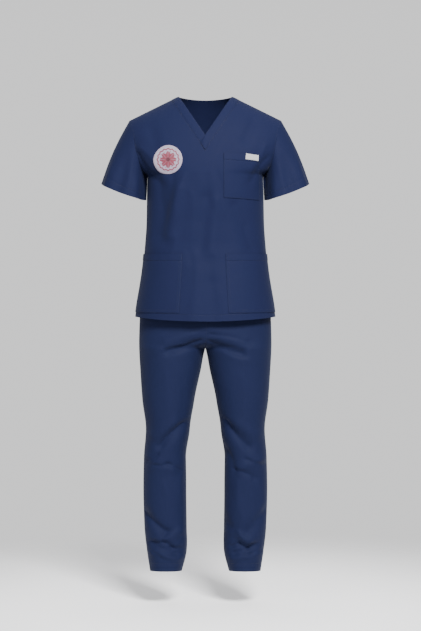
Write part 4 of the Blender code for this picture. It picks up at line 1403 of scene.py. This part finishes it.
def studio_floor(name, colour):
    """Pale matt floor that fades out before its edge, so that it has no end to see."""
    if name in bpy.data.materials:
        return bpy.data.materials[name]
    finish = Finish(name)
    place = finish.object_place()
    split = finish.node("ShaderNodeSeparateXYZ", None, {0: place})
    x, y = Signal(finish, split.outputs[0]), Signal(finish, split.outputs[1])
    away = (x * x + y * y) ** 0.5
    grain = finish.noise(place, 60.0, 3.0)
    shade = finish.blended(grain, tinted(colour, 0.99), tinted(colour, 1.01))
    named = {"Base Color": shade, "Roughness": 0.9, "Specular IOR Level": 0.15,
             "Normal": finish.bump(grain, 0.0004, 0.15)}
    shader = finish.node("ShaderNodeBsdfPrincipled", None, named).outputs[0]
    clear = finish.node("ShaderNodeBsdfTransparent").outputs[0]
    faded = away.stepped(FLOOR_FADE[0], FLOOR_FADE[1])
    mixed = finish.node("ShaderNodeMixShader", None, {0: faded, 1: shader, 2: clear}).outputs[0]
    finish.node("ShaderNodeOutputMaterial", None, {0: mixed})
    return finish.material


def along_side(name, inset, first=0, last=None, across=False):
    """Places on a cloth a set distance in from its first column, or from its last where that is negative."""
    outer, inner = MADE[name]
    if across:
        outer, inner = turned(outer), turned(inner)
    last = len(outer) - 1 if last is None else last
    path = []
    for row in range(first, last + 1):
        line, under = outer[row], inner[row]
        if inset < 0:
            line, under = line[::-1], under[::-1]
        left = abs(inset)
        for index in range(len(line) - 1):
            length = (line[index + 1] - line[index]).length
            if left <= length:
                share = left / length
                point = line[index].lerp(line[index + 1], share)
                below = under[index].lerp(under[index + 1], share)
                path.append(point + (point - below).normalized() * STITCH_LIFT)
                break
            left -= length
    return path


def nearest_row(name, level):
    """Row of a cloth whose first point is nearest to a level."""
    outer = MADE[name][0]
    return min(range(len(outer)), key=lambda row: abs(outer[row][0].z - level))


def top_sewing():
    """Every line of stitching on the top, as lists of places on the finished cloth."""
    paths = []
    vent_row = nearest_row("top_front_cloth", VENT_TOP)
    armpit_row = len(lower_shares())
    for name in ("top_front_cloth", "top_back_cloth"):
        last_column = len(MADE[name][0][0]) - 1
        paths.append(along_side(name, HEM_TURN, 2, last_column - 2, True))
        for inset in (VENT_STITCH, -VENT_STITCH):
            paths.append(along_side(name, inset, 2, vent_row))
            paths.append(along_side(name, math.copysign(ARMHOLE_STITCH, inset), armpit_row + 3))
        paths.append(along_side(name, -SEAM_STITCH, 0, None, True))
    for word in ("left", "right"):
        name = "sleeve_%s_cloth" % word
        ring = along_side(name, -SLEEVE_HEM, 0, None, True)
        paths.append(ring + ring[:1])
        band = "neck_band_%s_cloth" % word
        paths.append(along_side(band, BAND_STITCH, 1 if word == "right" else 0))
        paths.append(along_side(band, -BAND_STITCH, 0))
    for name in ("chest_pocket_cloth", "hip_pocket_left_cloth", "hip_pocket_right_cloth"):
        last_column = len(MADE[name][0][0]) - 1
        paths.append(along_side(name, -POCKET_HEM, 1, last_column - 1, True))
        insets = (POCKET_STITCH,) if name.startswith("chest") else (POCKET_STITCH, POCKET_STITCH + TWIN_SPACING)
        for inset in insets:
            paths.append(along_side(name, inset, 2))
            paths.append(along_side(name, -inset, 2))
            paths.append(along_side(name, inset, 2, last_column - 2, True))
    return paths


def trouser_sewing():
    paths = []
    for face in ("front", "back"):
        for side in ("left", "right"):
            name = "leg_%s_%s_cloth" % (face, side)
            paths.append(along_side(name, -CUFF_HEM, 0, None, True))
            fork_row = nearest_row(name, FORK_LEVEL)
            if side == "left":
                paths.append(along_side(name, FORK_STITCH, 1, fork_row - 1))
            if face == "front":
                paths.append(along_side(name, -SIDE_STITCH, 1))
    for height in WAISTBAND_STITCHES:
        ring = along_side("waistband_cloth", height * WAISTBAND_HEIGHT, 0, None, True)
        paths.append(ring + ring[:1])
    return paths


def edging_sewing(name, inset):
    """Stitches round all four sides of a small laid piece."""
    rows, columns = len(MADE[name][0]) - 1, len(MADE[name][0][0]) - 1
    return [along_side(name, inset, 0, rows), along_side(name, -inset, 0, rows),
            along_side(name, inset, 0, columns, True), along_side(name, -inset, 0, columns, True)]


def stitch_tree():
    """Node tree that sets small spindle-shaped stitches end to end along every line that it is given."""
    tree = bpy.data.node_groups.new("Stitch line", "GeometryNodeTree")
    face = tree.interface
    face.new_socket("Lines", in_out="INPUT", socket_type="NodeSocketGeometry")
    for label, value in (("Spacing", 0.003), ("Stitch length", 0.0022), ("Thread radius", 0.0002)):
        socket = face.new_socket(label, in_out="INPUT", socket_type="NodeSocketFloat")
        socket.default_value = value
        socket.subtype = "DISTANCE"
    face.new_socket("Thread", in_out="INPUT", socket_type="NodeSocketMaterial")
    face.new_socket("Stitches", in_out="OUTPUT", socket_type="NodeSocketGeometry")

    def node(kind, settings=None, inputs=None):
        made = tree.nodes.new(kind)
        for key, value in (settings or {}).items():
            setattr(made, key, value)
        for key, value in (inputs or {}).items():
            if isinstance(value, bpy.types.NodeSocket):
                tree.links.new(value, made.inputs[key])
            else:
                made.inputs[key].default_value = value
        return made.outputs

    given = node("NodeGroupInput")
    line = node("GeometryNodeMeshToCurve", None, {"Mesh": given["Lines"]})["Curve"]
    even = node("GeometryNodeResampleCurve", {"mode": "LENGTH"}, {"Curve": line, "Length": given["Spacing"]})["Curve"]
    tangent = node("GeometryNodeInputTangent")["Tangent"]
    turn = node("FunctionNodeAlignRotationToVector", {"axis": "Z"}, {"Vector": tangent})["Rotation"]
    half = node("ShaderNodeMath", {"operation": "MULTIPLY"}, {0: given["Stitch length"], 1: 0.5})["Value"]
    limits = {2: 0.90, 3: 1.08, "Seed": STITCH_SEED}
    uneven = node("FunctionNodeRandomValue", {"data_type": "FLOAT"}, limits).values()[1]
    length = node("ShaderNodeMath", {"operation": "MULTIPLY"}, {0: half, 1: uneven})["Value"]
    size = node("ShaderNodeCombineXYZ", None, {0: given["Thread radius"], 1: given["Thread radius"], 2: length})[0]
    spindle = node("GeometryNodeMeshIcoSphere", None, {"Radius": 1.0, "Subdivisions": 1})["Mesh"]
    smooth = node("GeometryNodeSetShadeSmooth", None, {"Geometry": spindle})[0]
    placed = node("GeometryNodeInstanceOnPoints", None,
                  {"Points": even, "Instance": smooth, "Rotation": turn, "Scale": size})["Instances"]
    real = node("GeometryNodeRealizeInstances", None, {"Geometry": placed})[0]
    finished = node("GeometryNodeSetMaterial", None, {"Geometry": real, "Material": given["Thread"]})[0]
    node("NodeGroupOutput", None, {"Stitches": finished})
    return tree


def sew(name, paths, thread, sizes):
    """Stitches along all of these paths, joined in one piece."""
    mesh = bpy.data.meshes.new(name + "_lines")
    verts, edges = [], []
    for path in paths:
        start = len(verts)
        verts += [tuple(point) for point in path]
        edges += [(start + index, start + index + 1) for index in range(len(path) - 1)]
    mesh.from_pydata(verts, edges, [])
    carrier = bpy.data.objects.new(name + "_lines", mesh)
    bpy.context.scene.collection.objects.link(carrier)
    tree = bpy.data.node_groups.get("Stitch line") or stitch_tree()
    modifier = carrier.modifiers.new("Sewing", "NODES")
    modifier.node_group = tree
    values = {"Spacing": sizes.stitch_spacing, "Stitch length": sizes.stitch_length,
              "Thread radius": sizes.thread_radius, "Thread": thread}
    for item in tree.interface.items_tree:
        if item.in_out == "INPUT" and item.name in values:
            modifier[item.identifier] = values[item.name]
    bpy.context.view_layer.update()
    shown = carrier.evaluated_get(bpy.context.evaluated_depsgraph_get())
    sewn = bpy.data.meshes.new_from_object(shown)
    bpy.data.objects.remove(carrier, do_unlink=True)
    sewn.name = name
    if not sewn.polygons:
        raise RuntimeError(name + ": no stitches were made")
    piece = bpy.data.objects.new(name, sewn)
    bpy.context.scene.collection.objects.link(piece)
    place_piece(piece, None)


def colour_setting(label, description, colour):
    return FloatVectorProperty(name=label, description=description, subtype="COLOR", size=4, min=0.0, max=1.0,
                               default=colour + (1.0,))


class ScrubClothSizes(bpy.types.PropertyGroup):
    """Sizes and colours of the cloth."""

    top_colour: colour_setting("Top colour", "Colour of the top's poplin", (0.0053, 0.0075, 0.0277))
    trouser_colour: colour_setting("Trouser colour", "Colour of the trousers' poplin", (0.0053, 0.0077, 0.0270))
    weave_pitch: FloatProperty(name="Weave pitch", description="Distance from thread to thread of the weave",
                               default=0.00045, min=0.0002, max=0.002, unit="LENGTH")
    sheen: FloatProperty(name="Sheen", description="How much soft sheen the poplin has", default=0.03, min=0.0,
                         max=1.0, subtype="FACTOR")


class ScrubTrimSizes(bpy.types.PropertyGroup):
    """Sizes and colours of the sewing, the patch and the label."""

    stitch_spacing: FloatProperty(name="Stitch spacing", description="Distance from stitch to stitch",
                                  default=0.0030, min=0.001, max=0.01, unit="LENGTH")
    stitch_length: FloatProperty(name="Stitch length", description="Length of thread that shows in one stitch",
                                 default=0.0024, min=0.0005, max=0.01, unit="LENGTH")
    thread_radius: FloatProperty(name="Thread radius", description="Half the thickness of the thread",
                                 default=0.00024, min=0.0001, max=0.001, unit="LENGTH")
    thread_colour: colour_setting("Thread colour", "Colour of the navy thread", (0.0032, 0.0048, 0.0158))
    tape_thread_colour: colour_setting("Tape thread colour", "Colour of the white thread", (0.27, 0.27, 0.28))
    field_colour: colour_setting("Patch field", "Colour of the patch's pale twill", (0.206, 0.180, 0.232))
    figure_colour: colour_setting("Patch design", "Colour of the ring and the rosette", (0.128, 0.018, 0.033))
    rim_colour: colour_setting("Patch rim", "Colour of the patch's overlocked rim", (0.205, 0.170, 0.216))
    label_colour: colour_setting("Label colour", "Colour of the bare woven label", (0.292, 0.290, 0.293))


class ScrubStageSizes(bpy.types.PropertyGroup):
    """The camera, the lights and the floor."""

    floor_colour: colour_setting("Floor colour", "Colour of the floor", (0.96, 0.96, 0.97))
    floor_drop: FloatProperty(name="Floor drop", description="How far the floor lies below the trouser hems",
                              default=0.105, min=0.0, max=1.0, unit="LENGTH")
    focal_length: FloatProperty(name="Focal length", description="Focal length on a 36 mm tall sensor",
                                default=109.7, min=10.0, max=500.0, unit="CAMERA")
    light_strength: FloatProperty(name="Light strength", description="Overall strength of the studio lights",
                                  default=1.0, min=0.0, max=10.0)


class SCRUBSET_OT_body(bpy.types.Operator):
    """Make the front, the back and both sleeves"""

    bl_idname = "scrubset.body"
    bl_label = "Top body and sleeves"

    def execute(self, context):
        cloth = context.scene.scrub_cloth
        make_body_and_sleeves(poplin("navy_top_poplin", cloth.top_colour, cloth))
        return {"FINISHED"}


class SCRUBSET_OT_neck_band(bpy.types.Operator):
    """Make both halves of the V neck band"""

    bl_idname = "scrubset.neck_band"
    bl_label = "Neck band"

    def execute(self, context):
        cloth = context.scene.scrub_cloth
        material = poplin("navy_top_poplin", cloth.top_colour, cloth)
        make_band("left", 1, material)
        make_band("right", -1, material)
        return {"FINISHED"}


class SCRUBSET_OT_pockets(bpy.types.Operator):
    """Make the chest pocket and both hip pockets"""

    bl_idname = "scrubset.pockets"
    bl_label = "Pockets"

    def execute(self, context):
        cloth = context.scene.scrub_cloth
        material = poplin("navy_top_poplin", cloth.top_colour, cloth)
        make_chest_pocket(material)
        make_hip_pocket("left", 1, HIP_POCKET_LEFT_INNER, material)
        make_hip_pocket("right", -1, HIP_POCKET_RIGHT_INNER, material)
        return {"FINISHED"}


class SCRUBSET_OT_trims(bpy.types.Operator):
    """Make the round patch and the bare label"""

    bl_idname = "scrubset.trims"
    bl_label = "Patch and label"

    def execute(self, context):
        trim = context.scene.scrub_trim
        make_patch(emblem_twill("patch_embroidered_twill", trim.field_colour, trim.figure_colour, trim.rim_colour))
        make_label(woven_tape("label_ribbed_tape", trim.label_colour))
        return {"FINISHED"}


class SCRUBSET_OT_trousers(bpy.types.Operator):
    """Make the four leg panels and the gathered waistband"""

    bl_idname = "scrubset.trousers"
    bl_label = "Trousers"

    def execute(self, context):
        cloth = context.scene.scrub_cloth
        material = poplin("navy_trouser_poplin", cloth.trouser_colour, cloth)
        for side_word, side in (("left", 1), ("right", -1)):
            make_leg_panel(side_word, side, "front", FRONT, material)
            make_leg_panel(side_word, side, "back", BACK, material)
        make_waistband(material)
        return {"FINISHED"}


class SCRUBSET_OT_sewing(bpy.types.Operator):
    """Sew every hem, edge and seam that shows"""

    bl_idname = "scrubset.sewing"
    bl_label = "Sewing"

    def execute(self, context):
        trim = context.scene.scrub_trim
        navy = sewing_thread("navy_thread", trim.thread_colour)
        white = sewing_thread("tape_thread", trim.tape_thread_colour)
        sew("top_sewing", top_sewing(), navy, trim)
        sew("trouser_sewing", trouser_sewing(), navy, trim)
        sew("label_sewing", edging_sewing("pocket_label_cloth", LABEL_STITCH), white, trim)
        return {"FINISHED"}


class SCRUBSET_OT_stage(bpy.types.Operator):
    """Set up the floor, the soft lights and the camera"""

    bl_idname = "scrubset.stage"
    bl_label = "Stage"

    def execute(self, context):
        stage = context.scene.scrub_stage
        make_floor(stage)
        make_lights(stage)
        make_camera(stage)
        return {"FINISHED"}


class SCRUBSET_PT_steps(bpy.types.Panel):
    """Steps of making the scrub set, in order"""

    bl_idname = "SCRUBSET_PT_steps"
    bl_label = "Scrub set"
    bl_space_type = "VIEW_3D"
    bl_region_type = "UI"
    bl_category = "Scrub set"

    def draw(self, context):
        for group in (context.scene.scrub_cloth, context.scene.scrub_trim, context.scene.scrub_stage):
            box = self.layout.box()
            for key in group.__annotations__:
                box.prop(group, key)
        for step in STEPS:
            self.layout.operator(step.bl_idname, text=step.bl_label)


STEPS = (SCRUBSET_OT_body, SCRUBSET_OT_neck_band, SCRUBSET_OT_pockets, SCRUBSET_OT_trims, SCRUBSET_OT_trousers,
         SCRUBSET_OT_sewing, SCRUBSET_OT_stage)
GROUPS = {"scrub_cloth": ScrubClothSizes, "scrub_trim": ScrubTrimSizes, "scrub_stage": ScrubStageSizes}


def make_floor(stage):
    """A round pale floor below the set."""
    turns = [math.tau * index / FLOOR_SIDES for index in range(FLOOR_SIDES)]
    level = CUFF_LEVEL - stage.floor_drop
    verts = [(FLOOR_RADIUS * math.cos(turn), FLOOR_RADIUS * math.sin(turn), level) for turn in turns]
    mesh = bpy.data.meshes.new("floor")
    mesh.from_pydata(verts, [], [tuple(range(FLOOR_SIDES))])
    mesh.materials.append(studio_floor("studio_floor", stage.floor_colour))
    floor = bpy.data.objects.new("floor", mesh)
    bpy.context.scene.collection.objects.link(floor)


def make_lights(stage):
    """A soft key from the upper right, a weak fill, a light above behind, and an even pale surrounding."""
    for name, place, size, power in LIGHTS:
        light = bpy.data.lights.new(name, "AREA")
        light.shape = "RECTANGLE"
        light.size, light.size_y = size
        light.energy = power * stage.light_strength
        lamp = bpy.data.objects.new(name, light)
        lamp.location = place
        lamp.rotation_euler = (Vector(LIGHT_AIM) - Vector(place)).to_track_quat("-Z", "Y").to_euler()
        bpy.context.scene.collection.objects.link(lamp)
    world = bpy.data.worlds.new("studio")
    world.use_nodes = True
    tree = world.node_tree
    background = tree.nodes["Background"]
    split = tree.nodes.new("ShaderNodeSeparateXYZ")
    ramp = tree.nodes.new("ShaderNodeValToRGB")
    for element, (height, colour) in zip(ramp.color_ramp.elements, (WORLD_LOW, WORLD_HIGH)):
        element.position = height
        element.color = colour
    tree.links.new(tree.nodes.new("ShaderNodeTexCoord").outputs["Generated"], split.inputs[0])
    tree.links.new(split.outputs[2], ramp.inputs[0])
    tree.links.new(ramp.outputs[0], background.inputs[0])
    background.inputs[1].default_value = WORLD_STRENGTH * stage.light_strength
    bpy.context.scene.world = world


def make_camera(stage):
    lens = bpy.data.cameras.new("photo_view")
    lens.sensor_fit = "VERTICAL"
    lens.sensor_height = 36.0
    lens.lens = stage.focal_length
    camera = bpy.data.objects.new("photo_view", lens)
    camera.location = CAMERA_PLACE
    camera.rotation_euler = (Vector(CAMERA_AIM) - Vector(CAMERA_PLACE)).to_track_quat("-Z", "Y").to_euler()
    bpy.context.scene.collection.objects.link(camera)
    bpy.context.scene.camera = camera


def register():
    for group in GROUPS.values():
        bpy.utils.register_class(group)
    for key, group in GROUPS.items():
        setattr(bpy.types.Scene, key, PointerProperty(type=group))
    for step in STEPS:
        bpy.utils.register_class(step)
    bpy.utils.register_class(SCRUBSET_PT_steps)


def unregister():
    bpy.utils.unregister_class(SCRUBSET_PT_steps)
    for step in reversed(STEPS):
        bpy.utils.unregister_class(step)
    for key, group in GROUPS.items():
        delattr(bpy.types.Scene, key)
        bpy.utils.unregister_class(group)


def main():
    register()
    bpy.ops.scrubset.body()
    bpy.ops.scrubset.neck_band()
    bpy.ops.scrubset.pockets()
    bpy.ops.scrubset.trims()
    bpy.ops.scrubset.trousers()
    bpy.ops.scrubset.sewing()
    bpy.ops.scrubset.stage()


if __name__ == "__main__":
    main()
